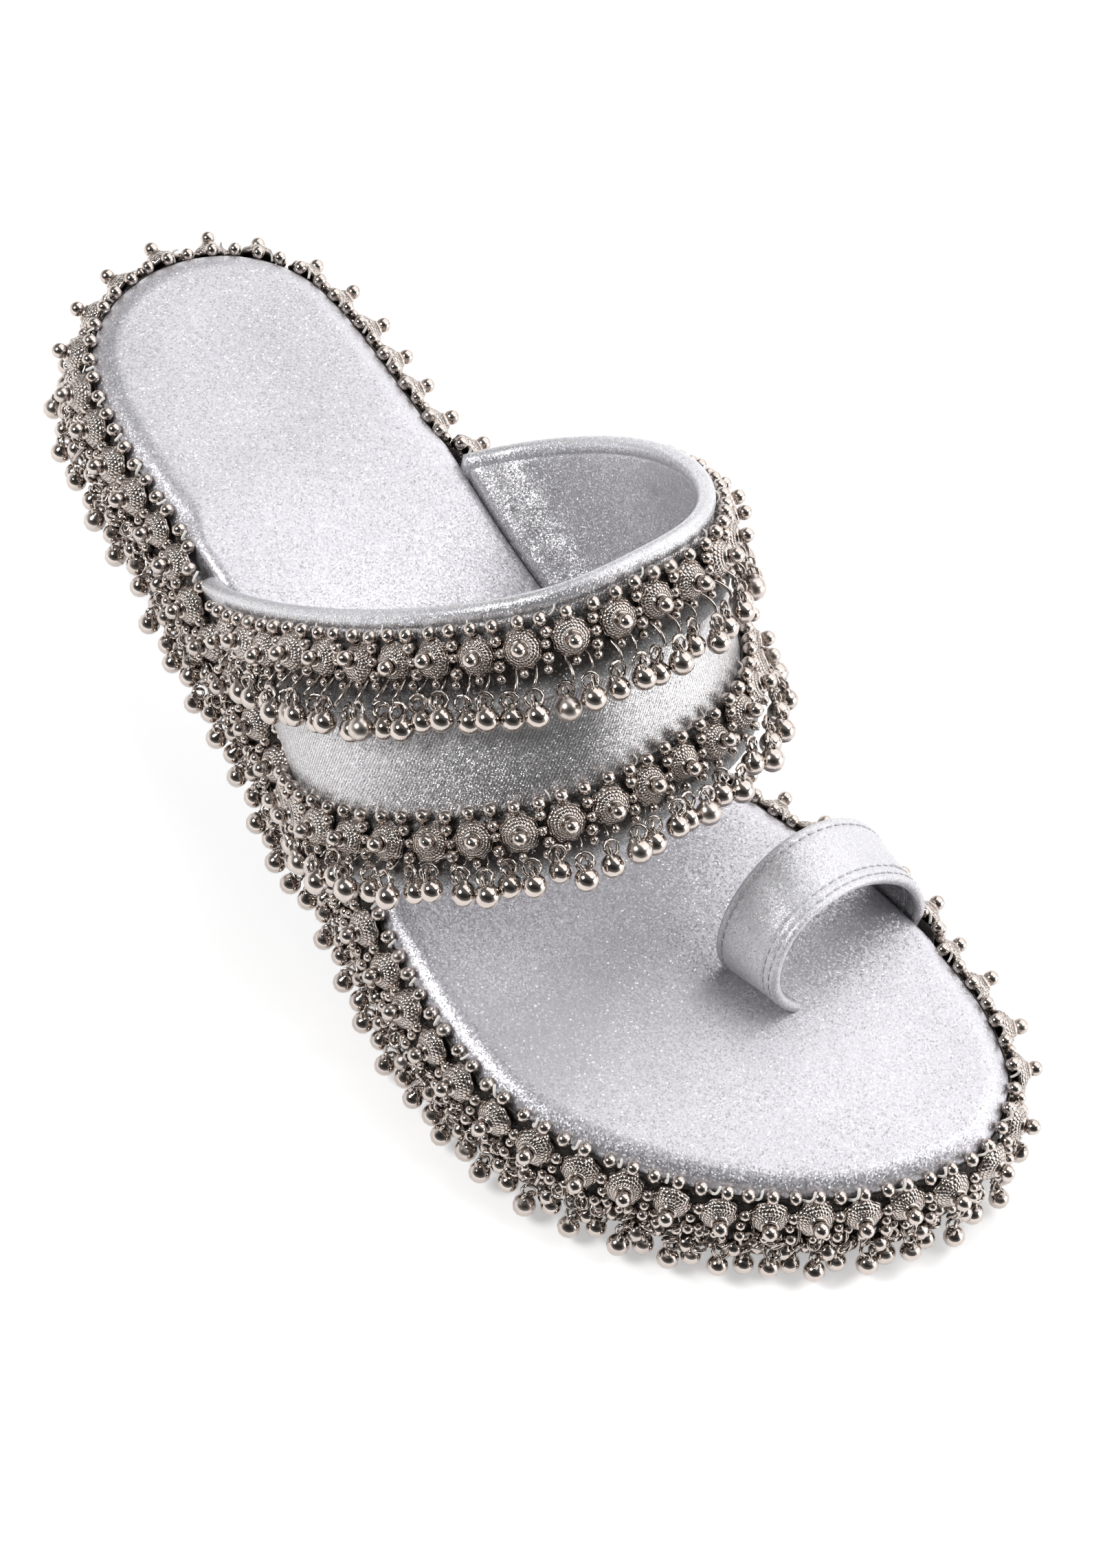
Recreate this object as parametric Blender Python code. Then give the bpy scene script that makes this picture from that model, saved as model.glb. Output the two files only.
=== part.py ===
"""Toe-loop wedge sandal for the right foot, built as separate solids.

Lengths in the tables are millimetres: +X lateral, +Y to the toe, +Z up.
"""
import math

import bmesh
import bpy
import numpy as np

MM = 0.001

# Sole heights
RIM_FORE = 26.0
HEEL_LIFT = 26.0
LIFT_FROM_Y = 55.0
LIFT_TO_Y = 165.0
OUTSOLE_THICK = 4.0
FOOTBED_THICK = 12.0
TOE_SPRING = 3.0
TOE_SPRING_FROM_Y = 210.0
TOE_Y = 249.0
FIT_GAP = 0.3

# Sole edge, distances outward from the rim line
WALL_OUT = 1.8
WEDGE_TOP_OUT = 0.6
WEDGE_FOOT_OUT = -4.0
OUTSOLE_OUT = -3.6
OUTSOLE_BEVEL_IN = 1.6
OUTSOLE_BEVEL_HIGH = 1.2

# Padded footbed: rolled upper edge, bevelled lower edge and the dish for the foot
ROLL_WIDE = 5.6
ROLL_DEEP = 4.2
ROLL_STEPS = 4
FOOTBED_BEVEL = 1.0
DISH_START_IN = 10.0
DISH_START_DROP = 0.2
FOOT_DISH = 0.5
DISH_EASE_ROWS = 6.0

# Strap band and toe loop walls
BAND_THICK = 2.4
HEM_THICK = 3.4
BAND_REACH = 1.19
HEM_SPARE = 0.3
FRONT_SPARE = 0.9
LOOP_THICK = 2.0
LOOP_SPARE = 0.1
LOOP_SINK = 0.2
TUCK_BAND = 10.0
TUCK_LOOP = 8.0
SLIT_DEPTH = 3.5
SLIT_END = 0.4
SLIT_OVER = 3.0
SKIVE_THICK = 1.2
SKIVE_BELOW = 1.4

# Trim: a tape with domed florets and a fringe of bells
SOLE_PITCH = 9.0
STRAP_PITCH = 8.3
STRAP_CLEAR = 5.0
REAR_TRIM_SHARE = 0.215
FRONT_TRIM_SHARE = 1.0
TAPE_THICK = 1.2
TAPE_TOP = -1.4
TAPE_LOW = 9.4
TAPE_SPARE = 0.15
FLORET_DROP = 4.6
FLORET_R = 3.7
FLORET_HIGH = 2.7
FLORET_TOP_SHARE = 0.62
FLORET_SIDES = 6
BOSS_HIGH = 5.9
BELL_DROP = 18.2
BELL_OUT = 5.1
BELL_R = 1.75
BELL_TIP = 2.2
HANG_SLIDE = 5.0
TOP_DROP = 3.4

# Where strap ends lie behind the sole trim (y from, y to) and how the trim steps out over them
SPANS_LATERAL = ((64.0, 122.0),)
SPANS_MEDIAL = ((70.0, 118.0), (188.0, 210.0))
TUCK_STEP = 3.0
TUCK_REACH = 10.0
TUCK_RAMP = 9.0

# Rim outline, one row per station along the foot: y, medial x, lateral x
HEEL_TIP = (-4.5, 2.5)
TOE_TIP = (-16.0, 249.0)
OUTLINE = (
    (5.5, -17.0, 8.5),
    (12.0, -25.0, 17.0),
    (21.0, -29.5, 22.0),
    (34.0, -30.0, 26.0),
    (60.0, -26.5, 30.0),
    (95.0, -23.0, 34.5),
    (128.0, -25.0, 41.0),
    (150.0, -29.0, 46.5),
    (168.0, -33.5, 49.5),
    (184.0, -37.0, 50.0),
    (198.0, -38.5, 46.5),
    (213.0, -39.0, 38.5),
    (226.0, -38.0, 28.5),
    (236.0, -34.5, 17.0),
    (243.0, -30.0, 5.5),
)

# Edge lines of the strap band:
# y lateral, y medial, rise, lean deg, squareness, skew, lateral bulge, medial bulge
BAND_REAR = (70.5, 75.5, 59.0, 49.0, 3.25, -7.0, 4.5, 12.5)
BAND_FORE = (111.0, 111.5, 37.5, 56.0, 3.2, -1.5, 11.5, 10.5)

# Edge lines of the toe loop:
# x lateral, y lateral, y medial, rise, lean deg, squareness, skew, lateral bulge, medial bulge
LOOP_REAR = (-3.0, 190.0, 193.5, 26.0, -14.5, 2.2, 2.5, 2.5, 1.5)
LOOP_FORE = (-7.5, 207.0, 207.0, 22.5, -18.0, 2.4, 9.5, 3.0, 2.5)

# How the side bulge of an arch is spread over its height and towards its top
BULGE_RISE = 0.8
BULGE_SPREAD = 0.3

# Wedge wall: share of the way from the foot line out to the top line, share of the height
WEDGE_WALL = ((0.0, 0.0), (0.22, 0.35), (0.55, 0.7), (1.0, 1.0))

# Strap band rows from the rear edge to the front: share of the ruling, wall thickness
BAND_ROWS = (
    (0.0, HEM_THICK),
    (0.045, HEM_THICK),
    (0.07, BAND_THICK),
    (0.4, BAND_THICK),
    (0.7, BAND_THICK),
    (1.0, BAND_THICK),
    (BAND_REACH, BAND_THICK),
)

# Fineness of the curves
SPLINE_STEPS = 24
NORMAL_REACH = 1.5
HALF_STEPS = 34
TOP_COLUMNS = 6
ARCH_STEPS = 160
BAND_STEPS = 44
LOOP_STEPS = 28
LOOP_ROWS = 4
ARC_STEPS = 400


def smooth(t):
    t = min(max(t, 0.0), 1.0)
    return t * t * (3.0 - 2.0 * t)


def rim_z(y):
    return RIM_FORE + HEEL_LIFT * (1.0 - smooth((y - LIFT_FROM_Y) / (LIFT_TO_Y - LIFT_FROM_Y)))


def ground_z(y):
    return TOE_SPRING * max(0.0, (y - TOE_SPRING_FROM_Y) / (TOE_Y - TOE_SPRING_FROM_Y)) ** 2


def unit(v):
    return v / np.linalg.norm(v)


def closed_spline(points, steps):
    """Centripetal spline through a ring of points."""
    pts = np.asarray(points, float)
    count = len(pts)
    out = []
    for i in range(count):
        quad = [pts[(i + k - 1) % count] for k in range(4)]
        knot = [0.0]
        for k in range(3):
            knot.append(knot[-1] + math.sqrt(np.linalg.norm(quad[k + 1] - quad[k])))
        for step in range(steps):
            t = knot[1] + (knot[2] - knot[1]) * step / steps
            low = [quad[k] + (quad[k + 1] - quad[k]) * (t - knot[k]) / (knot[k + 1] - knot[k])
                   for k in range(3)]
            mid = [low[k] + (low[k + 1] - low[k]) * (t - knot[k]) / (knot[k + 2] - knot[k])
                   for k in range(2)]
            out.append(mid[0] + (mid[1] - mid[0]) * (t - knot[1]) / (knot[2] - knot[1]))
    return np.array(out)


class Rim:
    """The rim line seen from above, walked from the heel over the lateral side to the toe."""

    def __init__(self):
        lateral = [(row[2], row[0]) for row in OUTLINE]
        medial = [(row[1], row[0]) for row in reversed(OUTLINE)]
        self.points = closed_spline([HEEL_TIP] + lateral + [TOE_TIP] + medial, SPLINE_STEPS)
        ring = np.vstack([self.points, self.points[:1]])
        self.arc = np.concatenate([[0.0], np.cumsum(np.linalg.norm(np.diff(ring, axis=0), axis=1))])
        self.ring = ring
        self.length = self.arc[-1]
        self.half = self.arc[SPLINE_STEPS * (len(OUTLINE) + 1)]

    def at(self, s):
        s = s % self.length
        return np.array([np.interp(s, self.arc, self.ring[:, k]) for k in (0, 1)])

    def normal(self, s):
        d = self.at(s + NORMAL_REACH) - self.at(s - NORMAL_REACH)
        return unit(np.array([d[1], -d[0]]))

    def offset(self, s, out):
        return self.at(s) + self.normal(s) * out

    def side(self, y, lateral):
        """Arc position of the crossing with a given y on one side."""
        low, high = (0.0, self.half) if lateral else (self.half, self.length)
        for _ in range(60):
            mid = 0.5 * (low + high)
            if (self.at(mid)[1] < y) == lateral:
                low = mid
            else:
                high = mid
        return 0.5 * (low + high)


RIM = Rim()


class Body:
    """Collects vertices and faces of one solid."""

    def __init__(self):
        self.verts = []
        self.faces = []

    def add(self, p):
        self.verts.append((float(p[0]), float(p[1]), float(p[2])))
        return len(self.verts) - 1

    def face(self, *ids):
        self.faces.append(ids)

    def strip(self, low, high, closed):
        """Quads between two rows of vertices."""
        count = len(low)
        for i in range(count if closed else count - 1):
            j = (i + 1) % count
            self.face(low[i], low[j], high[j], high[i])

    def build(self, name, color, rough, metal, smooth_faces):
        mesh = bpy.data.meshes.new(name)
        mesh.from_pydata([tuple(c * MM for c in v) for v in self.verts], [], self.faces)
        work = bmesh.new()
        work.from_mesh(mesh)
        bmesh.ops.recalc_face_normals(work, faces=work.faces)
        work.to_mesh(mesh)
        work.free()
        for poly in mesh.polygons:
            poly.use_smooth = smooth_faces
        mat = bpy.data.materials.new(name)
        mat.use_nodes = True
        shader = mat.node_tree.nodes["Principled BSDF"]
        shader.inputs["Base Color"].default_value = (*color, 1.0)
        shader.inputs["Roughness"].default_value = rough
        shader.inputs["Metallic"].default_value = metal
        mesh.materials.append(mat)
        obj = bpy.data.objects.new(name, mesh)
        bpy.context.scene.collection.objects.link(obj)
        return obj


# Sole solids: rings around the rim line, closed above and below


def ring_stations():
    lateral = [RIM.half * k / HALF_STEPS for k in range(HALF_STEPS + 1)]
    rest = RIM.length - RIM.half
    medial = [RIM.half + rest * k / HALF_STEPS for k in range(1, HALF_STEPS)]
    return lateral + medial


STATIONS = ring_stations()


def add_ring(body, out, height):
    ids = []
    for s in STATIONS:
        x, y = RIM.offset(s, out)
        ids.append(body.add((x, y, height(RIM.at(s)[1]))))
    return ids


def cap(body, ring, upward, columns, dish):
    """Closes a ring with rows across the foot, sunk by the dish in the middle."""
    def put(*ids):
        body.face(*(ids if upward else reversed(ids)))

    total = 2 * HALF_STEPS
    rows = []
    for k in range(1, HALF_STEPS):
        a = np.array(body.verts[ring[k]])
        b = np.array(body.verts[ring[total - k]])
        row = [ring[k]]
        for j in range(1, columns):
            u = j / columns
            p = a + (b - a) * u
            p[2] -= dish * 4.0 * u * (1.0 - u) * smooth(min(k, HALF_STEPS - k) / DISH_EASE_ROWS)
            row.append(body.add(p))
        row.append(ring[total - k])
        rows.append(row)
    for low, high in zip(rows, rows[1:]):
        for j in range(columns):
            put(low[j], high[j], high[j + 1], low[j + 1])
    for j in range(columns):
        put(ring[0], rows[0][j], rows[0][j + 1])
        put(ring[HALF_STEPS], rows[-1][j + 1], rows[-1][j])


def make_sole_piece(sections, columns, dish):
    body = Body()
    rings = [add_ring(body, out, height) for out, height in sections]
    for low, high in zip(rings, rings[1:]):
        body.strip(low, high, True)
    cap(body, rings[0], False, 1, 0.0)
    cap(body, rings[-1], True, columns, dish)
    return body


def make_outsole():
    return make_sole_piece((
        (OUTSOLE_OUT - OUTSOLE_BEVEL_IN, ground_z),
        (OUTSOLE_OUT, lambda y: ground_z(y) + OUTSOLE_BEVEL_HIGH),
        (OUTSOLE_OUT, lambda y: ground_z(y) + OUTSOLE_THICK),
    ), 1, 0.0)


def make_wedge():
    def level(part):
        def height(y):
            low = ground_z(y) + OUTSOLE_THICK + FIT_GAP
            return low + (rim_z(y) - FOOTBED_THICK - FIT_GAP - low) * part
        return height

    span = WEDGE_TOP_OUT - WEDGE_FOOT_OUT
    return make_sole_piece([(WEDGE_FOOT_OUT + way * span, level(part)) for way, part in WEDGE_WALL], 1, 0.0)


def make_footbed():
    """Slab with a rolled upper edge: a quarter of an ellipse from the side wall to the top."""
    edge = [(WALL_OUT - FOOTBED_BEVEL, FOOTBED_THICK), (WALL_OUT, FOOTBED_THICK - FOOTBED_BEVEL)]
    for k in range(ROLL_STEPS + 1):
        turn = 0.5 * math.pi * k / ROLL_STEPS
        edge.append((WALL_OUT - ROLL_WIDE * (1.0 - math.cos(turn)), ROLL_DEEP * (1.0 - math.sin(turn))))
    edge.append((WALL_OUT - DISH_START_IN, DISH_START_DROP))
    sections = [(out, lambda y, d=drop: rim_z(y) - d) for out, drop in edge]
    return make_sole_piece(sections, TOP_COLUMNS, FOOT_DISH)


# Arched walls: strap band and toe loop


def arch_point(start, end, rise, lean, square, skew, bulge_l, bulge_m, t):
    """Point of a leaning arch from the lateral to the medial foot, t from 0 to pi."""
    power = 2.0 / square
    across = math.copysign(abs(math.cos(t)) ** power, math.cos(t))
    up = abs(math.sin(t)) ** power
    p = 0.5 * (start + end) + 0.5 * (start - end) * across
    swell = math.sin(math.pi * min(up, 1.0) ** BULGE_RISE)
    side = bulge_l if across > 0.0 else -bulge_m
    p[0] += skew * up + side * swell * abs(across) ** BULGE_SPREAD
    p[1] += rise * math.tan(math.radians(lean)) * up
    p[2] += rise * up
    return p


def wall_foot(y, lateral, out):
    """Point beside the footbed wall at rim height."""
    s = RIM.side(y, lateral)
    x, py = RIM.offset(s, out)
    return np.array([x, py, rim_z(RIM.at(s)[1])])


def even_line(points, count):
    """Resamples a line to even steps."""
    pts = np.array(points)
    arc = np.concatenate([[0.0], np.cumsum(np.linalg.norm(np.diff(pts, axis=0), axis=1))])
    want = np.linspace(0.0, arc[-1], count)
    return np.array([[np.interp(w, arc, pts[:, k]) for k in range(3)] for w in want])


def band_edge(row, thick, spare):
    out = WALL_OUT + FIT_GAP + 0.5 * thick + spare
    start = wall_foot(row[0], True, out)
    end = wall_foot(row[1], False, out)
    return [arch_point(start, end, *row[2:], math.pi * k / ARCH_STEPS) for k in range(ARCH_STEPS + 1)]


class BandSurface:
    """Middle surface of the strap band: straight rulings from the rear edge to the front."""

    def __init__(self, count):
        rear = np.array(band_edge(BAND_REAR, HEM_THICK, HEM_SPARE))
        fore = np.array(band_edge(BAND_FORE, BAND_THICK, FRONT_SPARE))
        self.rear = even_line(rear, count)
        self.fore = even_line(fore, count)
        self.count = count

    def at(self, u, w):
        """u from 0 lateral to 1 medial, w 0 rear edge to 1 front floret line."""
        k = np.arange(self.count) / (self.count - 1.0)
        a = np.array([np.interp(u, k, self.rear[:, i]) for i in range(3)])
        b = np.array([np.interp(u, k, self.fore[:, i]) for i in range(3)])
        return a + (b - a) * w

    def frame(self, u, w):
        """Point, along, outward and forward directions, and the length of the ruling."""
        step = 1.0 / (self.count - 1)
        along = unit(self.at(min(u + step, 1.0), w) - self.at(max(u - step, 0.0), w))
        ruling = self.at(u, 1.0) - self.at(u, 0.0)
        ahead = unit(ruling)
        out = unit(np.cross(ahead, along))
        return self.at(u, w), along, out, ahead, np.linalg.norm(ruling)


def arch_wall(rows, thick, tuck_l, skive_l, tuck_m, skive_m):
    """Wall about a grid of middle points; its ends run straight down, skived on the outside."""
    grid = []
    for row in rows:
        ends_l = [row[0] - np.array([0.0, 0.0, d]) for d in (tuck_l, SKIVE_BELOW)]
        ends_m = [row[-1] - np.array([0.0, 0.0, d]) for d in (SKIVE_BELOW, tuck_m)]
        grid.append(np.array(ends_l + list(row) + ends_m))
    grid = np.array(grid)
    count_w, count_u = grid.shape[:2]
    body = Body()
    outer = []
    inner = []
    for j in range(count_w):
        top = []
        low = []
        for i in range(count_u):
            along = grid[j, min(i + 1, count_u - 1)] - grid[j, max(i - 1, 0)]
            ahead = grid[min(j + 1, count_w - 1), i] - grid[max(j - 1, 0), i]
            n = unit(np.cross(ahead, along))
            wall = thick[j]
            if i < 2:
                wall = min(wall, skive_l)
            if i > count_u - 3:
                wall = min(wall, skive_m)
            foot = grid[j, i] - n * (0.5 * thick[j])
            low.append(body.add(foot))
            top.append(body.add(foot + n * wall))
        outer.append(top)
        inner.append(low)
    for j in range(count_w - 1):
        body.strip(outer[j], outer[j + 1], False)
        body.strip(inner[j + 1], inner[j], False)
    body.strip(inner[0], outer[0], False)
    body.strip(outer[-1], inner[-1], False)
    for side in (0, count_u - 1):
        for j in range(count_w - 1):
            body.face(outer[j][side], outer[j + 1][side], inner[j + 1][side], inner[j][side])
    return body


BAND = BandSurface(2 * BAND_STEPS + 1)


def make_strap_band():
    rows = [[BAND.at(i / BAND_STEPS, share) for i in range(BAND_STEPS + 1)] for share, _ in BAND_ROWS]
    thick = [wall for _, wall in BAND_ROWS]
    return arch_wall(rows, thick, TUCK_BAND, SKIVE_THICK, TUCK_BAND, SKIVE_THICK)


def loop_edge(row):
    start = np.array([row[0], row[1], rim_z(row[1]) - LOOP_SINK])
    end = wall_foot(row[2], False, WALL_OUT + FIT_GAP + 0.5 * LOOP_THICK + LOOP_SPARE)
    line = [arch_point(start, end, *row[3:], math.pi * k / ARCH_STEPS) for k in range(ARCH_STEPS + 1)]
    return even_line(line, LOOP_STEPS + 1)


def make_toe_loop():
    rear = loop_edge(LOOP_REAR)
    fore = loop_edge(LOOP_FORE)
    rows = [rear + (fore - rear) * k / (LOOP_ROWS - 1) for k in range(LOOP_ROWS)]
    return arch_wall(rows, [LOOP_THICK] * LOOP_ROWS, SLIT_DEPTH, LOOP_THICK, TUCK_LOOP, SKIVE_THICK)


def make_slit_cutter():
    """Pocket in the footbed for the lateral leg of the toe loop."""
    a = np.array([LOOP_REAR[0], LOOP_REAR[1]])
    b = np.array([LOOP_FORE[0], LOOP_FORE[1]])
    d = unit(b - a)
    n = np.array([d[1], -d[0]])
    half = 0.5 * LOOP_THICK + FIT_GAP
    body = Body()
    rings = []
    for z in (RIM_FORE - SLIT_DEPTH - LOOP_SINK - FIT_GAP, RIM_FORE + SLIT_OVER):
        ring = []
        for end, side in ((a, -1), (a, 1), (b, 1), (b, -1)):
            away = -1.0 if end is a else 1.0
            p = end + d * away * (FIT_GAP + SLIT_END) + n * side * half
            ring.append(body.add((p[0], p[1], z)))
        rings.append(ring)
    body.strip(rings[0], rings[1], True)
    body.face(*reversed(rings[0]))
    body.face(*rings[1])
    return body


# Bell trims


class TrimStation:
    """Half a floret step along a trim: tape corners, directions and the bell that hangs here."""

    def __init__(self, corners, floret, along, out, down):
        self.corners = corners
        self.floret = floret
        self.along = along
        self.out = out
        self.down = down
        self.bell = None
        self.bell_out = out
        self.fall = down


def add_trim(body, stations, closed):
    """Tape of floret cells, each with a domed floret and two bells along its lower edge."""
    count = len(stations)
    edges = [[body.add(c) for c in st.corners] for st in stations]
    for c in range(count // 2):
        ids = [(2 * c + k) % count for k in range(3)]
        left, mid, right = [edges[i] for i in ids]
        st = stations[ids[1]]
        border = (mid[0], right[0], right[1], mid[1], left[1], left[0])
        rings = []
        for r, high in ((FLORET_R, 0.0), (FLORET_TOP_SHARE * FLORET_R, FLORET_HIGH)):
            ring = []
            for k in range(FLORET_SIDES):
                a = 0.5 * math.pi - 2.0 * math.pi * k / FLORET_SIDES
                side = st.along * (r * math.cos(a)) - st.down * (r * math.sin(a))
                ring.append(body.add(st.floret + side + st.out * high))
            rings.append(ring)
        boss = body.add(st.floret + st.out * BOSS_HIGH)
        for k in range(FLORET_SIDES):
            j = (k + 1) % FLORET_SIDES
            body.face(border[k], rings[0][k], rings[0][j], border[j])
            body.face(rings[0][k], rings[1][k], rings[1][j], rings[0][j])
            body.face(rings[1][k], boss, rings[1][j])
        for i, (a, b) in enumerate(((left, mid), (mid, right))):
            body.face(a[2], b[2], b[0], a[0])
            body.face(a[3], b[3], b[2], a[2])
            st = stations[ids[i]]
            ring = [body.add(st.bell + st.along * (BELL_R * sx) + st.bell_out * (BELL_R * so))
                    for sx, so in ((-1, 1), (1, 1), (1, -1), (-1, -1))]
            tip = body.add(st.bell + st.fall * BELL_TIP)
            top = (a[1], b[1], b[3], a[3])
            for k in range(4):
                j = (k + 1) % 4
                body.face(top[k], top[j], ring[j], ring[k])
                body.face(ring[k], ring[j], tip)
    if not closed:
        body.face(edges[0][0], edges[0][1], edges[0][3], edges[0][2])
        body.face(edges[-1][1], edges[-1][0], edges[-1][2], edges[-1][3])


def tuck_step(s):
    """How far the sole trim stands out where strap ends lie behind it."""
    y = RIM.at(s)[1]
    lateral = (s % RIM.length) < RIM.half
    best = 0.0
    for low, high in SPANS_LATERAL if lateral else SPANS_MEDIAL:
        before = smooth((y - low + TUCK_REACH) / TUCK_RAMP)
        after = smooth((high + TUCK_REACH - y) / TUCK_RAMP)
        best = max(best, before * after)
    return TUCK_STEP * best


def make_sole_trim():
    cells = int(round(RIM.length / SOLE_PITCH))
    step = RIM.length / (2.0 * cells)
    down = np.array([0.0, 0.0, -1.0])

    def spot(s):
        n = RIM.normal(s)
        x, y = RIM.offset(s, WALL_OUT + FIT_GAP + tuck_step(s))
        p = np.array([x, y, rim_z(RIM.at(s)[1]) - TOP_DROP])
        return p, np.array([-n[1], n[0], 0.0]), np.array([n[0], n[1], 0.0])

    stations = []
    for i in range(2 * cells):
        p, along, out = spot(step * i)
        corners = [p + out * o + down * d for o, d in
                   ((TAPE_THICK, TAPE_TOP), (TAPE_THICK, TAPE_LOW), (0.0, TAPE_TOP), (0.0, TAPE_LOW))]
        st = TrimStation(corners, p + out * TAPE_THICK + down * FLORET_DROP, along, out, down)
        q, _, q_out = spot(step * (i + 0.5))
        st.bell = q + q_out * (TAPE_THICK + BELL_OUT) + down * BELL_DROP
        stations.append(st)
    body = Body()
    add_trim(body, stations, True)
    return body


def make_strap_trim(share):
    """Trim along the band with its florets on one ruling share, ends clear of the sole trim."""
    even = np.arange(ARC_STEPS + 1) / ARC_STEPS
    line = np.array([BAND.at(u, share) for u in even])
    arc = np.concatenate([[0.0], np.cumsum(np.linalg.norm(np.diff(line, axis=0), axis=1))])
    cells = int((arc[-1] - 2.0 * STRAP_CLEAR) / STRAP_PITCH)
    begin = 0.5 * (arc[-1] - cells * STRAP_PITCH)
    lift = 0.5 * BAND_THICK + FIT_GAP + TAPE_SPARE

    def spot(i, ahead_mm, out_mm, slide):
        """Point beside the band, a distance ahead of the floret line and off the surface."""
        u = np.interp(begin + 0.5 * STRAP_PITCH * i + slide, arc, even)
        ruling = BAND.frame(u, share)[4]
        p, along, out, ahead, _ = BAND.frame(u, share + ahead_mm / ruling)
        return p + out * (lift + out_mm), along, out, ahead

    stations = []
    for i in range(2 * cells + 1):
        corners = [spot(i, d - FLORET_DROP, o, 0.0)[0] for o, d in
                   ((TAPE_THICK, TAPE_TOP), (TAPE_THICK, TAPE_LOW), (0.0, TAPE_TOP), (0.0, TAPE_LOW))]
        p, along, out, ahead = spot(i, 0.0, TAPE_THICK, 0.0)
        down = unit(ahead - along * np.dot(ahead, along))
        st = TrimStation(corners, p, along, out, down)
        slide = -HANG_SLIDE * along[2]
        st.bell, _, st.bell_out, st.fall = spot(i + 0.5, BELL_DROP - FLORET_DROP,
                                                TAPE_THICK + BELL_OUT, slide)
        stations.append(st)
    body = Body()
    add_trim(body, stations, False)
    return body


def main():
    for obj in list(bpy.data.objects):
        bpy.data.objects.remove(obj, do_unlink=True)
    silver = (0.72, 0.73, 0.75)
    nickel = (0.46, 0.43, 0.40)
    rubber = (0.12, 0.11, 0.11)
    make_outsole().build("outsole", rubber, 0.75, 0.0, False)
    make_wedge().build("wedge", silver, 0.5, 0.4, False)
    footbed = make_footbed().build("footbed", silver, 0.4, 0.5, True)
    cutter = make_slit_cutter().build("loop_slit_cutter", silver, 0.5, 0.0, False)
    cutter.hide_render = True
    cutter.display_type = "WIRE"
    cut = footbed.modifiers.new("loop_slit", "BOOLEAN")
    cut.operation = "DIFFERENCE"
    cut.solver = "EXACT"
    cut.object = cutter
    make_strap_band().build("strap_band", silver, 0.4, 0.5, True)
    make_toe_loop().build("toe_loop", silver, 0.4, 0.5, True)
    make_sole_trim().build("sole_trim", nickel, 0.3, 0.9, False)
    make_strap_trim(REAR_TRIM_SHARE).build("rear_strap_trim", nickel, 0.3, 0.9, False)
    make_strap_trim(FRONT_TRIM_SHARE).build("front_strap_trim", nickel, 0.3, 0.9, False)
    recentre()


def recentre():
    """Moves the meshes so the origin is under the middle of the whole shoe."""
    corners = []
    for obj in bpy.data.objects:
        if not obj.hide_render:
            corners += [v.co for v in obj.data.vertices]
    low = [min(c[k] for c in corners) for k in range(3)]
    high = [max(c[k] for c in corners) for k in range(3)]
    shift = (-0.5 * (low[0] + high[0]), -0.5 * (low[1] + high[1]), -low[2])
    for obj in bpy.data.objects:
        for v in obj.data.vertices:
            v.co = (v.co[0] + shift[0], v.co[1] + shift[1], v.co[2] + shift[2])


main()
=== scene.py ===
import math

import bmesh
import bpy
import numpy as np
from mathutils import Matrix, Vector


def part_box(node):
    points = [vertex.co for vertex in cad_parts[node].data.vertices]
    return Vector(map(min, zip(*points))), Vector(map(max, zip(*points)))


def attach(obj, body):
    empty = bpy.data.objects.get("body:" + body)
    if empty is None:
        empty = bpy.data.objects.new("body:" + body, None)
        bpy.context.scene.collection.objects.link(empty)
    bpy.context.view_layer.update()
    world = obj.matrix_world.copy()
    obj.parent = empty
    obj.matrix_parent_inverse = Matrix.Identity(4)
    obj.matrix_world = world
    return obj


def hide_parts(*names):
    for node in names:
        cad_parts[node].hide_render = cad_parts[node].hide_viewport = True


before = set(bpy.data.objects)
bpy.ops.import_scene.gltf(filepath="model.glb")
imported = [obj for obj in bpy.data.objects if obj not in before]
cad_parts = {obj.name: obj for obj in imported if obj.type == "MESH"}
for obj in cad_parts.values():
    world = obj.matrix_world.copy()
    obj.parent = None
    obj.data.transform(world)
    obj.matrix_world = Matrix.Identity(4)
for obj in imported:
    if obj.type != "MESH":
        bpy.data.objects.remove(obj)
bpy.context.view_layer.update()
print("frame loaded:", len(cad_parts), "nodes")

mm = 0.001   # shapes are worked out in millimetres from the heel, +x lateral, +y toe, +z up
clothUnit = 0.01   # cloth maps count in units of 100 mm


def ease(t):
    t = np.clip(t, 0.0, 1.0)
    return t * t * (3.0 - 2.0 * t)


def unitRows(v):
    return v / np.maximum(np.linalg.norm(v, axis=-1, keepdims=True), 1e-12)


def runLength(points):
    return np.concatenate([[0.0], np.cumsum(np.linalg.norm(np.diff(points, axis=0), axis=1))])


# Rim line of the sole and the heights along it

soleShape = {
    "rimFore": 26.0, "heelLift": 26.0, "liftFrom": 55.0, "liftTo": 165.0,
    "footbedThick": 12.0, "outsoleThick": 4.0, "gap": 0.3, "wallOut": 1.8,
    "toeSpring": 3.0, "springFrom": 210.0, "toeY": 249.0,
    "heelTip": (-4.5, 2.5), "toeTip": (-16.0, 249.0),
    "stations": [   # y, medial x, lateral x
        (5.5, -17.0, 8.5), (12.0, -25.0, 17.0), (21.0, -29.5, 22.0), (34.0, -30.0, 26.0),
        (60.0, -26.5, 30.0), (95.0, -23.0, 34.5), (128.0, -25.0, 41.0), (150.0, -29.0, 46.5),
        (168.0, -33.5, 49.5), (184.0, -37.0, 50.0), (198.0, -38.5, 46.5), (213.0, -39.0, 38.5),
        (226.0, -38.0, 28.5), (236.0, -34.5, 17.0), (243.0, -30.0, 5.5)],
    "stepsEach": 24,
}


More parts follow.
